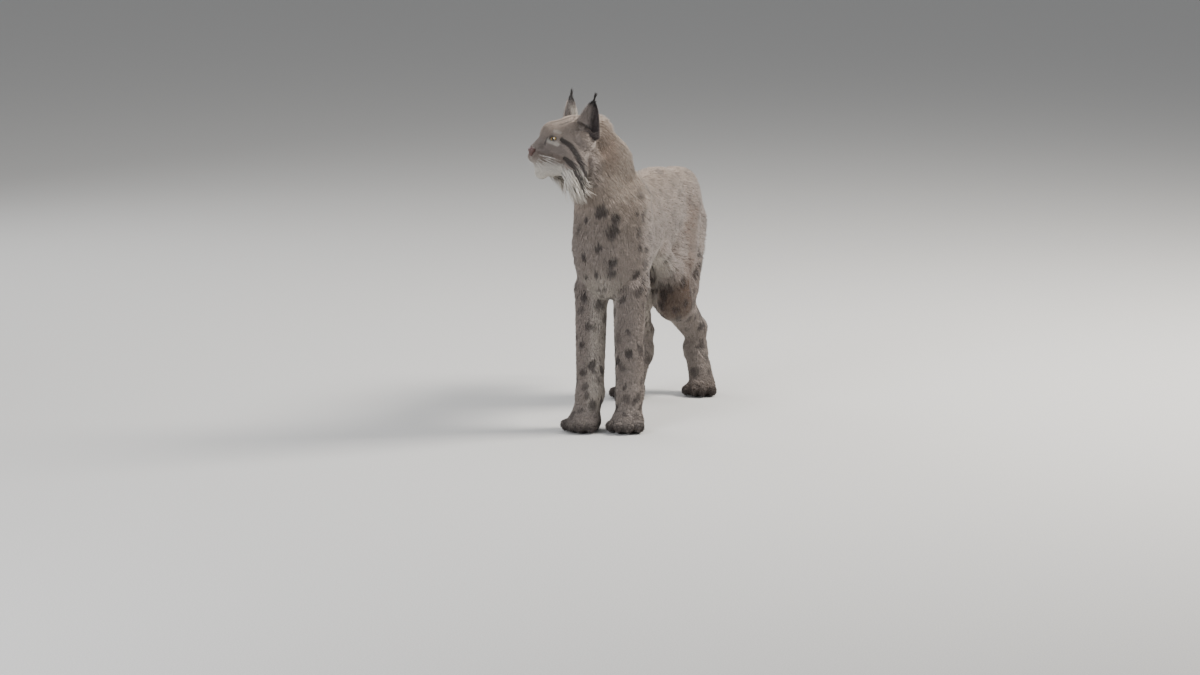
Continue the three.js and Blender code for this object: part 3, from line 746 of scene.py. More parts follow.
def evened(p, edges, rounds, share):
    """Points drawn by a share of the way towards the middle of their neighbours"""
    a, b = edges.T
    count = np.bincount(np.concatenate([a, b]), minlength=len(p))[:, None]
    for _ in range(rounds):
        total = np.stack([
            np.bincount(a, p[b, i], len(p)) + np.bincount(b, p[a, i], len(p)) for i in range(3)
        ], -1)
        p = p + (total / np.maximum(count, 1) - p) * share
    return p


# Materials

class Socket:
    """A node's output, which can be multiplied"""

    def __init__(self, shader, output):
        self.shader = shader
        self.output = output

    def __mul__(self, other):
        return self.shader.add("ShaderNodeMath", {"operation": "MULTIPLY"}, **{"0": self, "1": other})

    __rmul__ = __mul__


class Shader:
    """One material and its nodes"""

    def __init__(self, name, roughness, specular=0.5, coat=0.0, sheen=0.0):
        self.material = bpy.data.materials.new(name)
        self.material.use_nodes = True
        self.tree = self.material.node_tree
        self.surface = self.tree.nodes["Principled BSDF"]
        plain = {
            "Roughness": roughness, "Specular IOR Level": specular,
            "Coat Weight": coat, "Sheen Weight": sheen,
        }
        for socket, value in plain.items():
            self.surface.inputs[socket].default_value = value

    def add(self, kind, settings=None, output=0, **inputs):
        made = self.tree.nodes.new(kind)
        for name, value in (settings or {}).items():
            setattr(made, name, value)
        for name, value in inputs.items():
            socket = made.inputs[int(name)] if name.isdigit() else made.inputs[name]
            if isinstance(value, Socket):
                self.tree.links.new(value.output, socket)
            else:
                socket.default_value = value
        return Socket(self, made.outputs[output])

    def feed(self, socket, value):
        self.tree.links.new(value.output, self.surface.inputs[socket])

    def place(self):
        return self.add("ShaderNodeTexCoord", output="Object")

    def grain(self, place, scale, detail):
        return self.add("ShaderNodeTexNoise", output=0, Vector=place, Scale=scale, Detail=detail)

    def mix(self, amount, a, b, way="MIX"):
        settings = {"data_type": "RGBA", "blend_type": way}
        return self.add("ShaderNodeMix", settings, 2, **{"0": amount, "6": a, "7": b})

    def rise(self, value, low, high):
        settings = {"interpolation_type": "SMOOTHSTEP"}
        return self.add("ShaderNodeMapRange", settings, Value=value, **{"From Min": low, "From Max": high})


def shades(colour, *factors):
    """Lighter and darker shades of a colour, as a socket takes them"""
    return [tuple(c * factor for c in colour) + (1,) for factor in factors]


def coat_material(name):
    """Hair coloured by the markings, with a fine grain"""
    shader = Shader(name, 0.78, specular=0.22, sheen=0.12)
    hue = shader.add("ShaderNodeAttribute", {"attribute_name": "coat"})
    grain = shader.grain(shader.place(), 420.0, 3.0)
    shade = shader.mix(grain * 0.5, *shades((1.0, 1.0, 1.0), 0.82, 1.25))
    shader.feed("Base Color", shader.mix(1.0, hue, shade, "MULTIPLY"))
    return shader.material


def plain_material(name, colour, roughness, bump=0.0, scale=900.0, coat=0.0):
    """One colour with a soft grain, and a fine bump where one is asked for"""
    shader = Shader(name, roughness, coat=coat)
    grain = shader.grain(shader.place(), scale, 2.0)
    shader.feed("Base Color", shader.mix(grain, *shades(colour, 0.8, 1.2)))
    if bump:
        shader.feed("Normal", shader.add("ShaderNodeBump", Strength=0.5, Distance=bump, Height=grain))
    return shader.material


PUPIL = (0.004, 0.004, 0.004, 1)
IRIS_DARK = (0.20, 0.115, 0.02, 1)
IRIS_LIGHT = (0.52, 0.34, 0.09, 1)
IRIS_EDGE = (0.012, 0.009, 0.007, 1)


def eye_material(name, side):
    """A round dark pupil in an amber iris, seen through a wet surface"""
    shader = Shader(name, 0.12, coat=1.0)
    centre, _, _, gaze = eye_frame(side)
    centre, gaze = tuple(to_part(from_head(centre))), tuple(turned(gaze, HEAD_TURN))
    place = shader.place()
    offset = shader.add("ShaderNodeVectorMath", {"operation": "SUBTRACT"}, **{"0": place, "1": centre})
    outward = shader.add("ShaderNodeVectorMath", {"operation": "NORMALIZE"}, **{"0": offset})
    facing = shader.add("ShaderNodeVectorMath", {"operation": "DOT_PRODUCT"}, 1, **{"0": outward, "1": gaze})
    iris = shader.mix(shader.grain(place, 700.0, 3.0), IRIS_DARK, IRIS_LIGHT)
    ringed = shader.mix(shader.rise(facing, 0.70, 0.78), IRIS_EDGE, iris)
    shader.feed("Base Color", shader.mix(shader.rise(facing, 0.955, 0.968), ringed, PUPIL))
    return shader.material


# The skin

SKIN_SHADE = 0.85
SOLE_LEVEL = 0.6
OVERLAP = 0.0007


def head_start():
    """The head's eggs, and balls along its rods, before they are blended"""
    matrix = Matrix.Translation(Vector(to_part(HEAD))) @ Matrix.Rotation(HEAD_TURN, 4, "Z")
    mesh = bmesh.new()

    def add_egg(center, radii):
        place = Matrix.Translation(Vector(center) * MM) @ Matrix.Diagonal((*(Vector(radii) * MM), 1))
        bmesh.ops.create_icosphere(mesh, subdivisions=4, radius=1, matrix=matrix @ place)

    for make, *sizes in sum(head_parts(), []):
        if make is egg:
            add_egg(*sizes)
            continue
        first, last, first_radius, last_radius = sizes
        for t in np.linspace(0, 1, 9):
            radius = first_radius + (last_radius - first_radius) * t
            add_egg(Vector(first).lerp(Vector(last), t), (radius,) * 3)
    return mesh


def skin_start():
    """The solids' own flesh, swollen until it closes over their gaps, with the head's eggs"""
    whole = head_start()
    for node in FLESH:
        part = bmesh.new()
        part.from_mesh(bpy.data.objects[node].data)
        bmesh.ops.remove_doubles(part, verts=part.verts, dist=1e-5)
        facing_out(part).normal_update()
        for vertex in part.verts:
            vertex.co += vertex.normal * OVERLAP
        copy = finished(part, "copy")
        whole.from_mesh(copy)
        bpy.data.meshes.remove(copy)
    return finished(whole, "skin")


def in_fixed_order(piece):
    """The same mesh, ordered by the places of its vertices alone, so that each run gives it alike"""
    mesh = piece.data
    places = np.array([vertex.co[:] for vertex in mesh.vertices]).round(6)
    order = np.lexsort(places.T)
    rank = np.empty(len(order), int)
    rank[order] = np.arange(len(order))
    faces = []
    for polygon in mesh.polygons:
        corners = [int(rank[i]) for i in polygon.vertices]
        start = corners.index(min(corners))
        faces.append(tuple(corners[start:] + corners[:start]))
    fresh = bpy.data.meshes.new(piece.name)
    fresh.from_pydata(places[order].tolist(), [], sorted(faces))
    piece.data = fresh
    bpy.data.meshes.remove(mesh)
    fresh.name = piece.name


def refine_face(piece):
    """Splits the skin's faces on the front of the head in four"""
    mesh = bmesh.new()
    mesh.from_mesh(piece.data)
    mesh.edges.ensure_lookup_table()
    h = to_head(places_of(piece.data))
    fine = (h[:, 1] < 34) & (np.abs(h[:, 0]) < 80) & (h[:, 2] > -105)
    edges = [edge for edge in mesh.edges if all(fine[v.index] for v in edge.verts)]
    bmesh.ops.subdivide_edges(mesh, edges=edges, cuts=1, use_grid_fill=True)
    bmesh.ops.triangulate(mesh, faces=[face for face in mesh.faces if len(face.verts) > 4])
    mesh.to_mesh(piece.data)
    mesh.free()


def carve_face(p):
    """Presses in the mouth's line and opens the lids"""
    h = to_head(p)
    near = (h[:, 1] < -10) & (np.abs(h[:, 0]) < 70) & (np.abs(h[:, 2] + 30) < 75)
    q = h[near]
    slope = unit(slope_of(HEAD_FORM, q))
    gap = cord_along(MOUTH, 0)(q)
    q = q - slope * (2.6 * (1 - ramp(gap, 0.8, 3.6)))[:, None]
    for side in SIDES.values():
        centre, _, _, gaze = eye_frame(side)
        inside = ramp(-almond(side)(q), -0.4, 1.2)
        out = unit(q - centre)
        behind_eye = centre + out * (EYE_RADIUS - 2.2)
        held = (np.linalg.norm(q - centre, axis=1) < EYE_RADIUS + 7) & ((q - centre) @ gaze > 0)
        weight = (inside * held)[:, None]
        q = q * (1 - weight) + behind_eye * weight
        short = held & (inside < 0.5) & (np.linalg.norm(q - centre, axis=1) < EYE_RADIUS + 1.2)
        q[short] = centre + out[short] * (EYE_RADIUS + 1.2)
    h[near] = q
    return from_head(h)


def build_skin(voxel):
    """One closed skin, laid on the body's form at the depth of its coat"""
    piece = new_object("skin", skin_start())
    remesh = piece.modifiers.new("closed", "REMESH")
    remesh.mode = "VOXEL"
    remesh.voxel_size = voxel * MM
    applied(piece)
    in_fixed_order(piece)
    refine_face(piece)
    mesh = piece.data
    edges = values_of(mesh.edges, "vertices", 2, np.int32)
    p = evened(places_of(mesh), edges, 3, 0.5)
    p = laid_on(WHOLE_FORM, p, hair("depth", p), rounds=5)
    p = evened(p, edges, 2, 0.3)
    p = laid_on(WHOLE_FORM, p, hair("depth", p), rounds=3)
    p = carve_face(p)
    p[:, 2] = np.maximum(p[:, 2], SOLE_LEVEL)
    set_places(mesh, p)
    set_colours(mesh, markings(p) * SKIN_SHADE)
    shade_smooth(piece)
    return piece


def unwrap(piece):
    """A patchwork unwrap of the piece's own shape"""
    bpy.ops.object.select_all(action="DESELECT")
    piece.select_set(True)
    bpy.context.view_layer.objects.active = piece
    piece.data.uv_layers.new(name="OFBake")
    bpy.ops.object.mode_set(mode="EDIT")
    bpy.ops.mesh.select_all(action="SELECT")
    bpy.ops.uv.smart_project(angle_limit=66 * DEGREE, island_margin=0.002)
    bpy.ops.object.mode_set(mode="OBJECT")


# Hair

CELL_PRIMES = (73856093, 19349663, 83492791)
# Along each tuft, by its number of rings: how far up each ring sits, and its share of the tuft's width
RINGS = {1: ((0.34, 1.0),), 2: ((0.28, 1.0), (0.66, 0.72))}
BOW = 0.9
ROOT_SINK = 1.0
FLOOR_LEVEL = 0.3
ROOTS_PER_LOCK = 12
LOCK_REACH = 9.0
# How light the root, a lower ring, the top ring and the tip are
ROOT_LIGHT, LOWER_LIGHT, UPPER_LIGHT, TIP_LIGHT = 0.78, 0.96, 1.0, 1.10
# Shares of plain, pale and dark tufts, and how far each departs from plain
FLECK_SHARES = (0.78, 0.13, 0.09)
FLECK_LIGHT = (0.0, 1.0, -0.8)
UNWRAP_PATCH = 0.0015


class Surface:
    """A mesh to grow hair on: its triangles, normals and unwrap"""

    def __init__(self, piece):
        mesh = piece.data
        mesh.calc_loop_triangles()
        self.p = places_of(mesh)
        self.corners = values_of(mesh.loop_triangles, "vertices", 3, np.int32)
        loops = values_of(mesh.loop_triangles, "loops", 3, np.int32)
        self.uv = values_of(mesh.uv_layers["OFBake"].data, "uv", 2)[loops]
        self.normals = values_of(mesh.vertices, "normal", 3).astype(float)
        a, b, c = (self.p[self.corners[:, i]] for i in range(3))
        self.area = np.linalg.norm(np.cross(b - a, c - a), axis=1) / 2

    def scatter(self, spacing_of, seed):
        """Roots about one spacing apart, thinned so that none crowd"""
        rng = seeded(seed)
        spacing = spacing_of(self.p[self.corners].mean(1))
        wanted = self.area / np.maximum(spacing, 0.3) ** 2 * 2.2
        wanted = np.where(spacing > 0, wanted, 0)
        number = np.floor(wanted + rng.random(len(wanted))).astype(int)
        face = np.repeat(np.arange(len(number)), number)
        rng.shuffle(face)
        u, v = rng.random((2, len(face)))
        flip = u + v > 1
        u, v = np.where(flip, 1 - u, u), np.where(flip, 1 - v, v)
        weights = np.stack([1 - u - v, u, v], -1)[:, :, None]
        p = (self.p[self.corners[face]] * weights).sum(1)
        normals = unit((self.normals[self.corners[face]] * weights).sum(1))
        uv = (self.uv[face] * weights).sum(1)
        cell = np.floor(p / spacing[face][:, None]).astype(np.int64)
        key = np.bitwise_xor.reduce(cell * CELL_PRIMES, axis=1)
        _, first = np.unique(key, return_index=True)
        return kept(first, p, normals, uv)


def kept(chosen, *arrays):
    """The chosen rows of each array"""
    return [array[chosen] for array in arrays]


def gathered(p, normals, seed):
    """Moves along the skin from each root towards the middle of its lock"""
    chosen = seeded(seed).choice(len(p), max(1, len(p) // ROOTS_PER_LOCK), replace=False)
    tree = KDTree(len(chosen))
    for number, place in enumerate(p[chosen]):
        tree.insert(place, number)
    tree.balance()
    middles = np.array([tree.find(place)[0] for place in p])
    away = along_skin(middles - p, normals)
    far = np.linalg.norm(away, axis=1, keepdims=True)
    return away * np.minimum(1, LOCK_REACH / np.maximum(far, 1e-6))


def tuft_faces(rings):
    """The triangles of one closed tuft: around the root, between its rings, and around the tip"""
    faces = [(0, 1, 3), (0, 3, 2), (0, 2, 1)]
    for ring in range(rings - 1):
        base = 1 + ring * 3
        for a, b in ((0, 2), (2, 1), (1, 0)):
            faces += [(base + a, base + 3 + a, base + 3 + b), (base + a, base + 3 + b, base + b)]
    last, tip = 3 * rings - 2, 3 * rings + 1
    faces += [(tip, last + 2, last), (tip, last + 1, last + 2), (tip, last, last + 1)]
    return np.array(faces)


def tuft_mesh(name, verts, faces):
    """One mesh of many like tufts, from the places of each tuft's vertices"""
    count, size, _ = verts.shape
    verts = verts.reshape(-1, 3)
    verts[:, 2] = np.maximum(verts[:, 2], FLOOR_LEVEL)
    every = (faces[None] + (np.arange(count) * size)[:, None, None]).reshape(-1, 3)
    mesh = bpy.data.meshes.new(name)
    mesh.vertices.add(count * size)
    mesh.vertices.foreach_set("co", to_part(verts).astype(np.float32).ravel())
    mesh.loops.add(len(every) * 3)
    mesh.loops.foreach_set("vertex_index", every.ravel().astype(np.int32))
    mesh.polygons.add(len(every))
    mesh.polygons.foreach_set("loop_start", np.arange(0, len(every) * 3, 3, dtype=np.int32))
    mesh.polygons.foreach_set("use_smooth", np.ones(len(every), bool))
    mesh.update(calc_edges=True)
    return mesh, every.ravel()


def grow(name, roots, normals, uv, lie, length, width, lift, colours, seed, rings=1, droop=0.0, gather=0.0,
         grizzle=0.0):
    """One piece of closed tufts, each a root, one or two rings of three, and a tip"""
    rng = seeded(seed)
    count = len(roots)
    length = length * rng.uniform(0.78, 1.15, count)
    swing = rng.normal(0, 0.12, count)[:, None]
    pull = gathered(roots, normals, seed + 500) * gather
    ahead = unit(lie + unit(np.cross(lie, normals)) * swing)
    across = unit(np.cross(ahead, normals))
    lift = lift * rng.uniform(0.75, 1.3, count)
    rise, run = np.sin(lift)[:, None], np.cos(lift)[:, None]

    def along(t):
        bow = t * (2 - t) * BOW
        point = roots + ahead * run * (length * t)[:, None] + normals * rise * (length * bow)[:, None]
        point = point - normals * ROOT_SINK * max(0.0, 1 - t * 3) + pull * t * t
        point[:, 2] -= droop * t * t * length
        return point

    verts = np.empty((count, 2 + 3 * rings, 3))
    verts[:, 0] = along(0.0)
    verts[:, -1] = along(1.0)
    for ring, (t, share) in enumerate(RINGS[rings]):
        middle = along(t)
        half = (width * share / 2)[:, None]
        verts[:, 1 + ring * 3] = middle - across * half
        verts[:, 2 + ring * 3] = middle + across * half
        verts[:, 3 + ring * 3] = middle + normals * half * 0.7
    mesh, corners = tuft_mesh(name, verts, tuft_faces(rings))
    shade = rng.uniform(0.90, 1.10, count)[:, None]
    flecks = 1 + grizzle * rng.choice(FLECK_LIGHT, count, p=FLECK_SHARES)
    shade = shade * flecks[:, None]
    light = [ROOT_LIGHT] + [LOWER_LIGHT] * 3 * (rings - 1) + [UPPER_LIGHT] * 3 + [TIP_LIGHT]
    colour = (colours * shade)[:, None, :] * np.array(light)[None, :, None]
    set_colours(mesh, np.clip(colour.reshape(-1, 3), 0.002, 0.95))
    patch = [(0.0, -1.0)] + [(-1.0, -0.3), (1.0, -0.3), (0.0, 0.2)] * rings + [(0.0, 1.0)]
    places = (uv[:, None, :] + np.array(patch)[None] * UNWRAP_PATCH).reshape(-1, 2)
    layer = mesh.uv_layers.new(name="OFBake")
    layer.data.foreach_set("uv", places[corners].astype(np.float32).ravel())
    return new_object(name, mesh)


def clear_of_face(p):
    """Where no hair grows: the eyes, the nose pad and the line of the mouth"""
    h = to_head(p)
    bare = cord_along(MOUTH, 1.6)(h) < 0
    bare |= egg((0, -106, -18), (12.5, 9, 8.5))(h) < 0
    for side in SIDES.values():
        bare |= (almond(side)(h) < 1.3) & (np.linalg.norm(h - EYE * (side, 1, 1), axis=1) < 20)
    return bare


# Which roots each piece of the coat takes of those that the pieces before it have left
COAT_PIECES = {
    "coat_face": lambda p: (zones(p)["head"] > 0.5) & (to_head(p)[:, 1] < -30),
    "coat_head": lambda p: zones(p)["head"] > 0.5,
    "coat_neck": lambda p: (zones(p)["head"] <= 0.5) & (p[:, 2] > 560),
    "coat_chest": lambda p: (p[:, 2] <= 560) & (p[:, 2] > 330) & (p[:, 1] < 60),
    "coat_ribs": lambda p: (p[:, 2] <= 560) & (p[:, 2] > 330) & (p[:, 1] >= 60) & (p[:, 1] < 300),
    "coat_rump": lambda p: (p[:, 2] <= 600) & (p[:, 2] > 330) & (p[:, 1] >= 300),
    "coat_foreleg_left": lambda p: (p[:, 2] <= 330) & (p[:, 1] < 200) & (p[:, 0] > 0),
    "coat_foreleg_right": lambda p: (p[:, 2] <= 330) & (p[:, 1] < 200),
    "coat_hindleg_left": lambda p: (p[:, 2] <= 330) & (p[:, 0] > 0),
    "coat_hindleg_right": lambda p: p[:, 2] <= 330,
}


def grow_coat(surface, spread):
    """Hair over the whole skin, in pieces that are small enough to keep"""
    pieces = []
    roots = surface.scatter(lambda p: hair("width", p) * spread, seed=21)
    roots = kept(~clear_of_face(roots[0]), *roots)
    left = np.ones(len(roots[0]), bool)
    for number, (name, test) in enumerate(COAT_PIECES.items()):
        chosen = left & test(roots[0])
        left &= ~chosen
        p, normals, uv = kept(chosen, *roots)
        lift = hair("lift", p) * (1 + 0.16 * np.clip(noise(p, 26, seed=12), -1, 1))
        pieces.append(grow(
            name, p, normals, uv, lie_of_hair(p, normals), hair("length", p), hair("width", p), lift,
            markings(p), seed=31 + number, gather=0.25 if name == "coat_face" else 0.6, grizzle=0.22))
    return pieces


def grow_ruff(surface):
    """Long hair hanging from the lower edge of each cheek, with painted shade towards its rear"""
    def spacing(p):
        edge = zones(p)["ruff"] * (1 - ramp(to_head(p)[:, 2], -46, -30))
        return np.where(edge > 0.25, 2.9, 0.0)

    roots, normals, uv = surface.scatter(spacing, seed=77)
    side, back, up = to_head(roots).T
    length = 30 + 34 * (1 - ramp(back, -30, 34)) * (1 - ramp(up, -78, -36))
    length = np.where(side > 0, length, length * 0.86) * (1 - 0.5 * ramp(back, 0, 22))
    # Painted shade: the ruff turns grey-brown towards its rear, where it lies in shade
    shaded_ruff_rear = ramp(back, -6, 14)[:, None] * 0.7
    colours = markings(roots) * (1 - shaded_ruff_rear) + GREY_BROWN * 0.9 * shaded_ruff_rear
    count = len(roots)
    return grow(
        "ruff", roots, normals, uv, lie_of_hair(roots, normals), length, np.full(count, 3.2),
        np.full(count, 0.22), colours, seed=78, rings=2, droop=0.10)


# The ears

EAR_SHELL, EAR_HOLLOW = 1.01, 0.94
EAR_BURIED = -20
EAR_HAIR_SPACING = 1.7
EAR_SKIN_SHADE = 0.7
TUFT_HAIRS = 90


def ear_frame(side):
    """Its root, the way up, the way its cup faces, the way across, and its height"""
    root, tip = EAR_ROOT * (side, 1, 1), EAR_TIP * (side, 1, 1)
    upward = tip - root
    height = float(np.linalg.norm(upward))
    upward = upward / height
    facing = EAR_FACING[side]
    facing = unit(facing - facing @ upward * upward)
    return root, upward, facing, np.cross(upward, facing), height


def teardrop(side, size, low, high, forward):
    """A flattened drop with its point up, bent forward into or out of the cup"""
    root, upward, facing, across, _ = ear_frame(side)
    mesh = bmesh.new()
    bmesh.ops.create_uvsphere(mesh, u_segments=36, v_segments=28, radius=1)
    for vertex in mesh.verts:
        x, y, z = vertex.co
        t = (z + 1) / 2
        ring = math.hypot(x, y) or 1
        fullness = min(1, (t * 6) ** 0.5) * (1 - t) ** 0.58 if 1e-4 < t < 0.9999 else 0
        a = x / ring * EAR_HALF_WIDTH * size * fullness
        b = y / ring * EAR_HALF_DEPTH * size * fullness - forward * fullness
        place = root + across * a - facing * b + upward * (low + (high - low) * t)
        vertex.co = Vector(to_part(from_head(place)))
    return finished(facing_out(mesh), "teardrop")


def ear_colours(p, normals, side):
    """Dark backs with a pale patch, and a cup darkened with painted shade in its hollow, with paler hair
    along its front edge
    """
    root, upward, facing, across, height = ear_frame(side)
    h = to_head(p) - root
    up, sideways = h @ upward, h @ across
    behind = ramp(-(turned(normals, -HEAD_TURN) @ facing), -0.15, 0.35)
    front = ramp(-side * sideways, -6, 12)[:, None]
    # Painted shade: away from its front edge, the cup's inside is near black where shade falls in its hollow
    inside = (DARK * 1.8) * (1 - front) + (GREY_BROWN * 1.2) * front
    colour = inside * (1 - behind[:, None]) + GREY_BROWN * 0.5 * behind[:, None]
    patch = behind * ramp(up, 14, 26) * (1 - ramp(up, 44, 58)) * (1 - ramp(np.abs(sideways), 8, 18))
    colour = laid(colour, PALE * 0.75, patch)
    colour = laid(colour, GREY_BROWN, behind * (1 - ramp(up, 2, 20)))
    return laid(colour, DARK * 0.5, ramp(up, height - 26, height - 12))


def ear_shell(name, side):
    """The ear's skin: a drop with a smaller one cut out of its front"""
    height = ear_frame(side)[-1]
    shell = new_object(f"ear_skin_{name}", teardrop(side, EAR_SHELL, EAR_BURIED, height - 3, -0.6))
    hollow = new_object("hollow", teardrop(side, EAR_HOLLOW, 0, height - 5, EAR_HALF_DEPTH * 0.5))
    cut = shell.modifiers.new("cup", "BOOLEAN")
    cut.operation = "DIFFERENCE"
    cut.solver = "EXACT"
    cut.object = hollow
    applied(shell)
    bpy.data.objects.remove(hollow)
    in_fixed_order(shell)
    shade_smooth(shell)
    unwrap(shell)
    return shell


def ear_coat(name, side, surface, spread):
    """Short hair over the ear, longer along the cup's front edge, with a bare strip beside it"""
    root, upward, facing, across, height = ear_frame(side)

    def spacing(p):
        inside_head = HEAD_FORM(to_head(p)) < -4
        return np.where(inside_head, 0.0, EAR_HAIR_SPACING * spread)

    roots, normals, uv = surface.scatter(spacing, seed=51)
    h = to_head(roots) - root
    up, forward = h @ upward, -side * (h @ across)
    in_cup = turned(normals, -HEAD_TURN) @ facing >= 0.1
    bare = in_cup & (up > 16) & (up < height - 24) & (forward > -16) & (forward < -4)
    roots, normals, uv, up, forward, in_cup = kept(~bare, roots, normals, uv, up, forward, in_cup)
    edge = in_cup & (forward > -3)
    outwards = across * 0.3 * np.sign(-side * forward)[:, None]
    flow = turned(unit(upward + outwards + across * side * 0.6 * edge[:, None]), HEAD_TURN)
    flow = unit(along_skin(flow, normals))
    length = np.where(edge, 17.0, 6.0) * (1 - 0.5 * ramp(up, height - 40, height - 8))
    return grow(
        f"ear_coat_{name}", roots, normals, uv, flow, length, np.full(len(roots), 1.5),
        np.where(in_cup, 0.3, 0.2), ear_colours(roots, normals, side), seed=52, gather=0.3, grizzle=0.15)


def ear_tuft(name, side, surface):
    """The long dark hairs on the tip"""
    root, upward, facing, across, height = ear_frame(side)
    rng = seeded(60 + side)
    t = rng.random(TUFT_HAIRS) * 0.8
    sideways = rng.normal(0, 1.6, TUFT_HAIRS) * (1.3 - t)
    start = from_head(root + upward * (height - 16 + 14 * t)[:, None] + across * sideways[:, None])
    normals = np.tile(turned(-facing, HEAD_TURN), (TUFT_HAIRS, 1))
    lie = unit(turned(upward, HEAD_TURN) + rng.normal(0, 0.07, (TUFT_HAIRS, 3)))
    nearest = [int(np.argmin(((surface.p - place) ** 2).sum(1))) for place in start]
    uv = np.zeros((len(surface.p), 2))
    uv[surface.corners.ravel()] = surface.uv.reshape(-1, 2)
    return grow(
        f"ear_tuft_{name}", start, normals, uv[nearest], lie, 13 + 12 * t, np.full(TUFT_HAIRS, 1.7),
        np.full(TUFT_HAIRS, 0.04), np.tile(DARK * 0.5, (TUFT_HAIRS, 1)), seed=61, rings=2)


def build_ear(name, side, spread):
    shell = ear_shell(name, side)
    surface = Surface(shell)
    set_colours(shell.data, ear_colours(surface.p, surface.normals, side) * EAR_SKIN_SHADE)
    return shell, ear_coat(name, side, surface, spread), ear_tuft(name, side, surface)


# Eyes, lids, nose and whiskers

LID_HALF_WIDTH = 10.6
LID_THICKNESS = 1.15
TORUS_SHARE = 0.14
PAD_MIDDLE = (0, -104, -20)
PAD_START = (0.013, 0.009, 0.012, 1)
WHISKER_SIDES = 5
WHISKER_STEPS = 7


def build_eye(name, side):
    centre = to_part(from_head(EYE * (side, 1, 1)))
    mesh = bmesh.new()
    bmesh.ops.create_uvsphere(mesh, u_segments=48, v_segments=32, radius=EYE_RADIUS * MM,
                              matrix=Matrix.Translation(Vector(centre)))
    piece = new_object(f"eyeball_{name}", finished(mesh, "eyeball"))
    in_fixed_order(piece)
    shade_smooth(piece)
    return piece


def build_lid(name, side):
    """The dark rim of the lids: a ring bent to the almond, lying on the eyeball"""
    centre, across, upward, gaze = eye_frame(side)
    bpy.ops.mesh.primitive_torus_add(
        major_segments=64, minor_segments=12, major_radius=1.0, minor_radius=TORUS_SHARE)
    piece = bpy.context.object
    piece.name = f"lid_{name}"
    x, y, z = values_of(piece.data.vertices, "co", 3).astype(float).T
    turn = np.arctan2(y, x)
    outward, raised = (np.hypot(x, y) - 1) / TORUS_SHARE, z / TORUS_SHARE

    def edge(turn):
        u = LID_HALF_WIDTH * np.cos(turn)
        top, bottom = lid_edge(u)
        v = np.where(np.sin(turn) >= 0, top, bottom)
        flat = u[:, None] * across + v[:, None] * upward
        reach = np.sqrt(np.maximum((EYE_RADIUS + 0.3) ** 2 - (flat * flat).sum(1), 4))
        return flat + reach[:, None] * gaze

    place = edge(turn)
    along = unit(edge(turn + 0.02) - place)
    out = unit(place)
    away = unit(np.cross(along, out))
    place = place + away * (outward * LID_THICKNESS)[:, None] + out * (raised * LID_THICKNESS)[:, None]
    set_places(piece.data, from_head(place + centre))
    mesh = bmesh.new()
    mesh.from_mesh(piece.data)
    facing_out(mesh).to_mesh(piece.data)
    mesh.free()
    shade_smooth(piece)
    return piece


def nose_form():
    """The nose pad with its nostrils and the groove between them"""
    pad = blend(4, egg((0, -104, -17), (13, 9, 8)), egg((0, -104, -25), (6, 8, 8)))
    nostrils = []
    for side in SIDES.values():
        nostrils.append(rod((side * 8.6, -116, -21.5), (side * 4.6, -104, -18.5), 2.6, 1.6))
        nostrils.append(rod((side * 8.6, -116, -21.5), (side * 13, -109, -19.5), 1.7, 1.0))
    groove = rod((0, -114.5, -14), (0, -113, -34), 1.0, 1.0)
    return hollowed(pad, groove, *nostrils)


def build_nose():
    mesh = bmesh.new()
    place = Matrix.Translation(Vector(PAD_MIDDLE) * MM) @ Matrix.Diagonal(PAD_START)
    bmesh.ops.create_icosphere(mesh, subdivisions=6, radius=1, matrix=place)
    piece = new_object("nose_pad", finished(mesh, "nose_pad"))
    start = values_of(piece.data.vertices, "co", 3).astype(float) / MM
    set_places(piece.data, from_head(laid_on(nose_form(), start, rounds=8)))
    shade_smooth(piece)
    return piece


def add_whisker(mesh, root, out, length):
    """A tapered hair that bends back and down along its length"""
    turn = Vector(turned(out, HEAD_TURN)).to_track_quat("Z", "Y").to_matrix().to_4x4()
    previous = None
    for t in np.linspace(0, 1, WHISKER_STEPS):
        middle = root + out * length * t + np.array([0, 0.10, -0.16]) * length * t * t
        matrix = Matrix.Translation(Vector(to_part(from_head(middle)))) @ turn
        radius = 0.34 * (1 - t) + 0.06
        made = bmesh.ops.create_circle(
            mesh, segments=WHISKER_SIDES, radius=radius * MM, matrix=matrix)["verts"]
        if previous:
            for i in range(WHISKER_SIDES):
                j = (i + 1) % WHISKER_SIDES
                mesh.faces.new((previous[i], previous[j], made[j], made[i]))
        else:
            mesh.faces.new(made[::-1])
        previous = made
    mesh.faces.new(previous)


def build_whiskers():
    """Four rows of four hairs on each side of the muzzle"""
    rng = seeded(91)
    mesh = bmesh.new()
    for side in SIDES.values():
        for row in range(WHISKER_ROWS):
            for step in range(4):
                guess = np.array([side * (10 + 5.5 * step), -100 + 5.5 * step, -31.0 - 4.2 * row])
                root = laid_on(HEAD_FORM, guess[None], 2.5, rounds=6)[0]
                out = unit((side * (0.9 + 0.1 * step), 0.12 + 0.28 * step, -0.12 - 0.16 * row))
                add_whisker(mesh, root, out, rng.uniform(34, 52) * (0.75 + 0.1 * step))
    piece = new_object("whiskers", finished(facing_out(mesh), "whiskers"))
    shade_smooth(piece)
    return piece


def dress(piece, made, slot, *nodes):
    """Gives a piece its material and its body, and hides the parts of the nodes it stands for; its slot is
    not used
    """
    piece.data.materials.clear()
    piece.data.materials.append(made)
    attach(piece, "root")
    if nodes:
        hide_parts(*nodes)


# The stage

CAMERA_AZIMUTH, CAMERA_ELEVATION = 20.5 * DEGREE, 10.3 * DEGREE
CAMERA_DISTANCE = 9.0
CAMERA_LENS, CAMERA_SENSOR = 110.2, 36.0
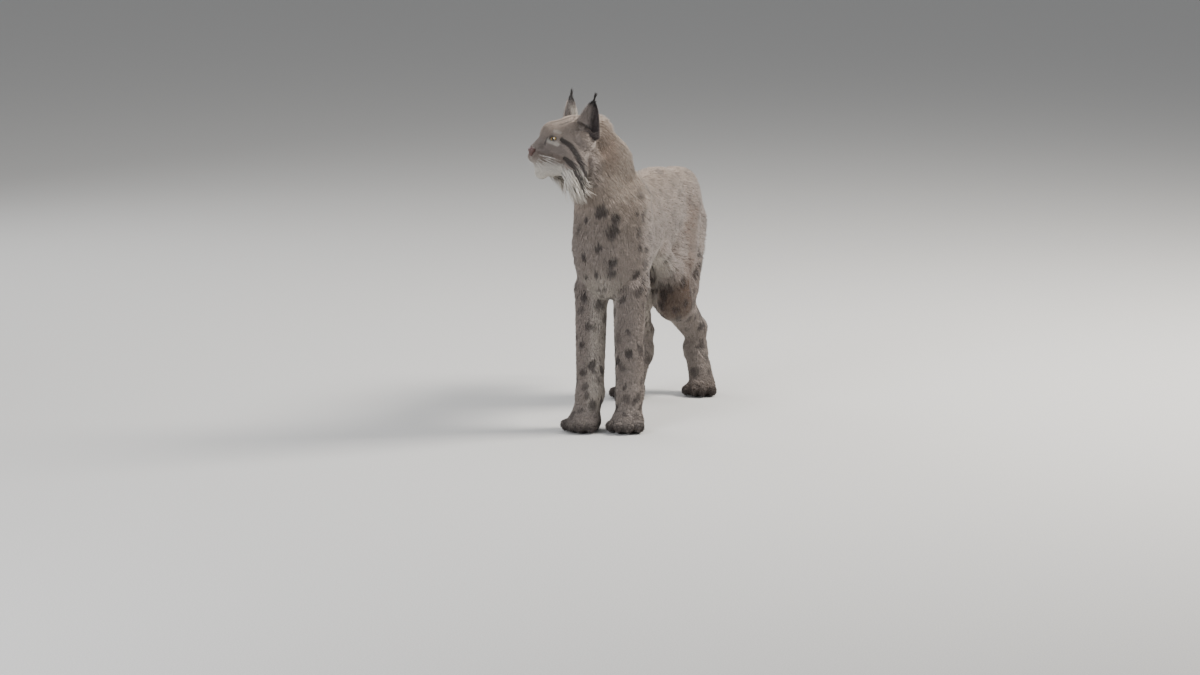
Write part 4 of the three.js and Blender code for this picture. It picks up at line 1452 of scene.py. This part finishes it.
# What the camera looks at, in millimetres: how far across the view, and how high
AIM_ACROSS, AIM_UP = -12.2, 230.0
LIGHT_TARGET = (0.0, 0.0, 0.4)
# Name, place, watts, size and colour
LIGHTS = (
    ("key", (2.6, 1.3, 2.9), 260, 1.2, (1.0, 0.96, 0.90)),
    ("fill", (-1.2, -3.6, 1.9), 78, 1.6, (0.93, 0.95, 1.0)),
    ("top", (0.0, 0.6, 3.6), 60, 2.5, (1.0, 1.0, 1.0)),
    ("side", (-3.2, 1.2, 2.2), 45, 2.5, (0.95, 0.97, 1.0)),
)
SURROUND = (0.80, 0.82, 0.85, 1)
SURROUND_STRENGTH = 0.4
FLOOR_SIZE = 40
FLOOR_COLOUR = (0.62, 0.61, 0.59)


def placed(thing, place, back):
    """Sets a light or a camera at a place, with its back to a direction"""
    thing.location = place
    thing.rotation_mode = "QUATERNION"
    thing.rotation_quaternion = (-back).to_track_quat("-Z", "Y")
    bpy.context.scene.collection.objects.link(thing)


def add_floor():
    bpy.ops.mesh.primitive_plane_add(size=FLOOR_SIZE)
    floor = bpy.context.object
    floor.name = "floor"
    floor.data.materials.append(plain_material("floor_paint", FLOOR_COLOUR, 0.9, scale=300.0))


def add_light(name, place, energy, size, colour):
    data = bpy.data.lights.new(name, "AREA")
    data.energy, data.size, data.color = energy, size, colour
    placed(bpy.data.objects.new(name, data), place, Vector(place) - Vector(LIGHT_TARGET))


def add_camera():
    c, s = math.cos(CAMERA_AZIMUTH), math.sin(CAMERA_AZIMUTH)
    level, rise = math.cos(CAMERA_ELEVATION), math.sin(CAMERA_ELEVATION)
    target = Vector(to_part(np.array([AIM_ACROSS * c, AIM_ACROSS * s, AIM_UP])))
    back = Vector((s * level, -c * level, rise))
    data = bpy.data.cameras.new("camera")
    data.lens, data.sensor_width = CAMERA_LENS, CAMERA_SENSOR
    camera = bpy.data.objects.new("camera", data)
    placed(camera, target + back * CAMERA_DISTANCE, back)
    bpy.context.scene.camera = camera


def add_surround():
    world = bpy.data.worlds.new("surround")
    world.use_nodes = True
    background = world.node_tree.nodes["Background"]
    background.inputs["Color"].default_value = SURROUND
    background.inputs["Strength"].default_value = SURROUND_STRENGTH
    bpy.context.scene.world = world


# The add-on

class LynxSettings(bpy.types.PropertyGroup):
    voxel: bpy.props.FloatProperty(
        name="Skin grid", description="Size of the skin's faces, in millimetres",
        default=4.3, min=2.0, max=12.0)
    spread: bpy.props.FloatProperty(
        name="Tuft spacing", description="Distance between tufts, in tuft widths",
        default=1.0, min=0.7, max=3.0)
    whiskers: bpy.props.BoolProperty(
        name="Whiskers", description="Add the whiskers", default=True)


class LYNX_OT_body(bpy.types.Operator):
    """Build the skin and the coat that grows on it"""
    bl_idname = "lynx.body"
    bl_label = "Skin and coat"

    def execute(self, context):
        settings = context.scene.lynx
        skin = build_skin(settings.voxel)
        unwrap(skin)
        made = coat_material("lynx_coat")
        surface = Surface(skin)
        pieces = grow_coat(surface, settings.spread * (1.0))
        pieces.append(grow_ruff(surface))
        dress(skin, coat_material("lynx_skin"), "coat", "head", *FLESH)
        for piece in pieces:
            dress(piece, made, "coat")
        return {"FINISHED"}


class LYNX_OT_ears(bpy.types.Operator):
    """Build the two ears with their tufts"""
    bl_idname = "lynx.ears"
    bl_label = "Ears"

    def execute(self, context):
        made = coat_material("lynx_ear_coat")
        for name, side in SIDES.items():
            shell, *hairs = build_ear(name, side, context.scene.lynx.spread)
            dress(shell, made, "ear_coat", f"ear_{name}")
            for piece in hairs:
                dress(piece, made, "ear_coat")
        return {"FINISHED"}


class LYNX_OT_face(bpy.types.Operator):
    """Build the eyes, lids, nose and whiskers"""
    bl_idname = "lynx.face"
    bl_label = "Face"

    def execute(self, context):
        rim = plain_material("lid_skin", (0.014, 0.011, 0.010), 0.35)
        for name, side in SIDES.items():
            dress(build_eye(name, side), eye_material(f"eye_{name}_surface", side), "eye", f"eye_{name}")
            dress(build_lid(name, side), rim, "nose")
        pad = plain_material("nose_skin", (0.085, 0.040, 0.034), 0.42, bump=0.0004, scale=1400.0, coat=0.2)
        dress(build_nose(), pad, "nose", "nose")
        if context.scene.lynx.whiskers:
            pale = plain_material("whisker_hair", (0.78, 0.75, 0.70), 0.4)
            dress(build_whiskers(), pale, "coat")
        return {"FINISHED"}


class LYNX_OT_stage(bpy.types.Operator):
    """Set the floor, the lights and the camera"""
    bl_idname = "lynx.stage"
    bl_label = "Stage"

    def execute(self, context):
        add_floor()
        add_camera()
        for light in LIGHTS:
            add_light(*light)
        add_surround()
        return {"FINISHED"}


class LYNX_PT_panel(bpy.types.Panel):
    """Buttons for the lynx"""
    bl_label = "Lynx"
    bl_idname = "LYNX_PT_panel"
    bl_space_type = "VIEW_3D"
    bl_region_type = "UI"
    bl_category = "Lynx"

    def draw(self, context):
        settings = context.scene.lynx
        for name in ("voxel", "spread", "whiskers"):
            self.layout.prop(settings, name)
        for operator in OPERATORS:
            self.layout.operator(operator.bl_idname)


OPERATORS = (LYNX_OT_body, LYNX_OT_ears, LYNX_OT_face, LYNX_OT_stage)
CLASSES = (LynxSettings, *OPERATORS, LYNX_PT_panel)


def register():
    for each in CLASSES:
        bpy.utils.register_class(each)
    bpy.types.Scene.lynx = bpy.props.PointerProperty(type=LynxSettings)


def unregister():
    del bpy.types.Scene.lynx
    for each in reversed(CLASSES):
        bpy.utils.unregister_class(each)


def main():
    register()
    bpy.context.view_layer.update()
    bpy.ops.lynx.body()
    bpy.ops.lynx.ears()
    bpy.ops.lynx.face()
    bpy.ops.lynx.stage()


if __name__ == "__main__":
    main()
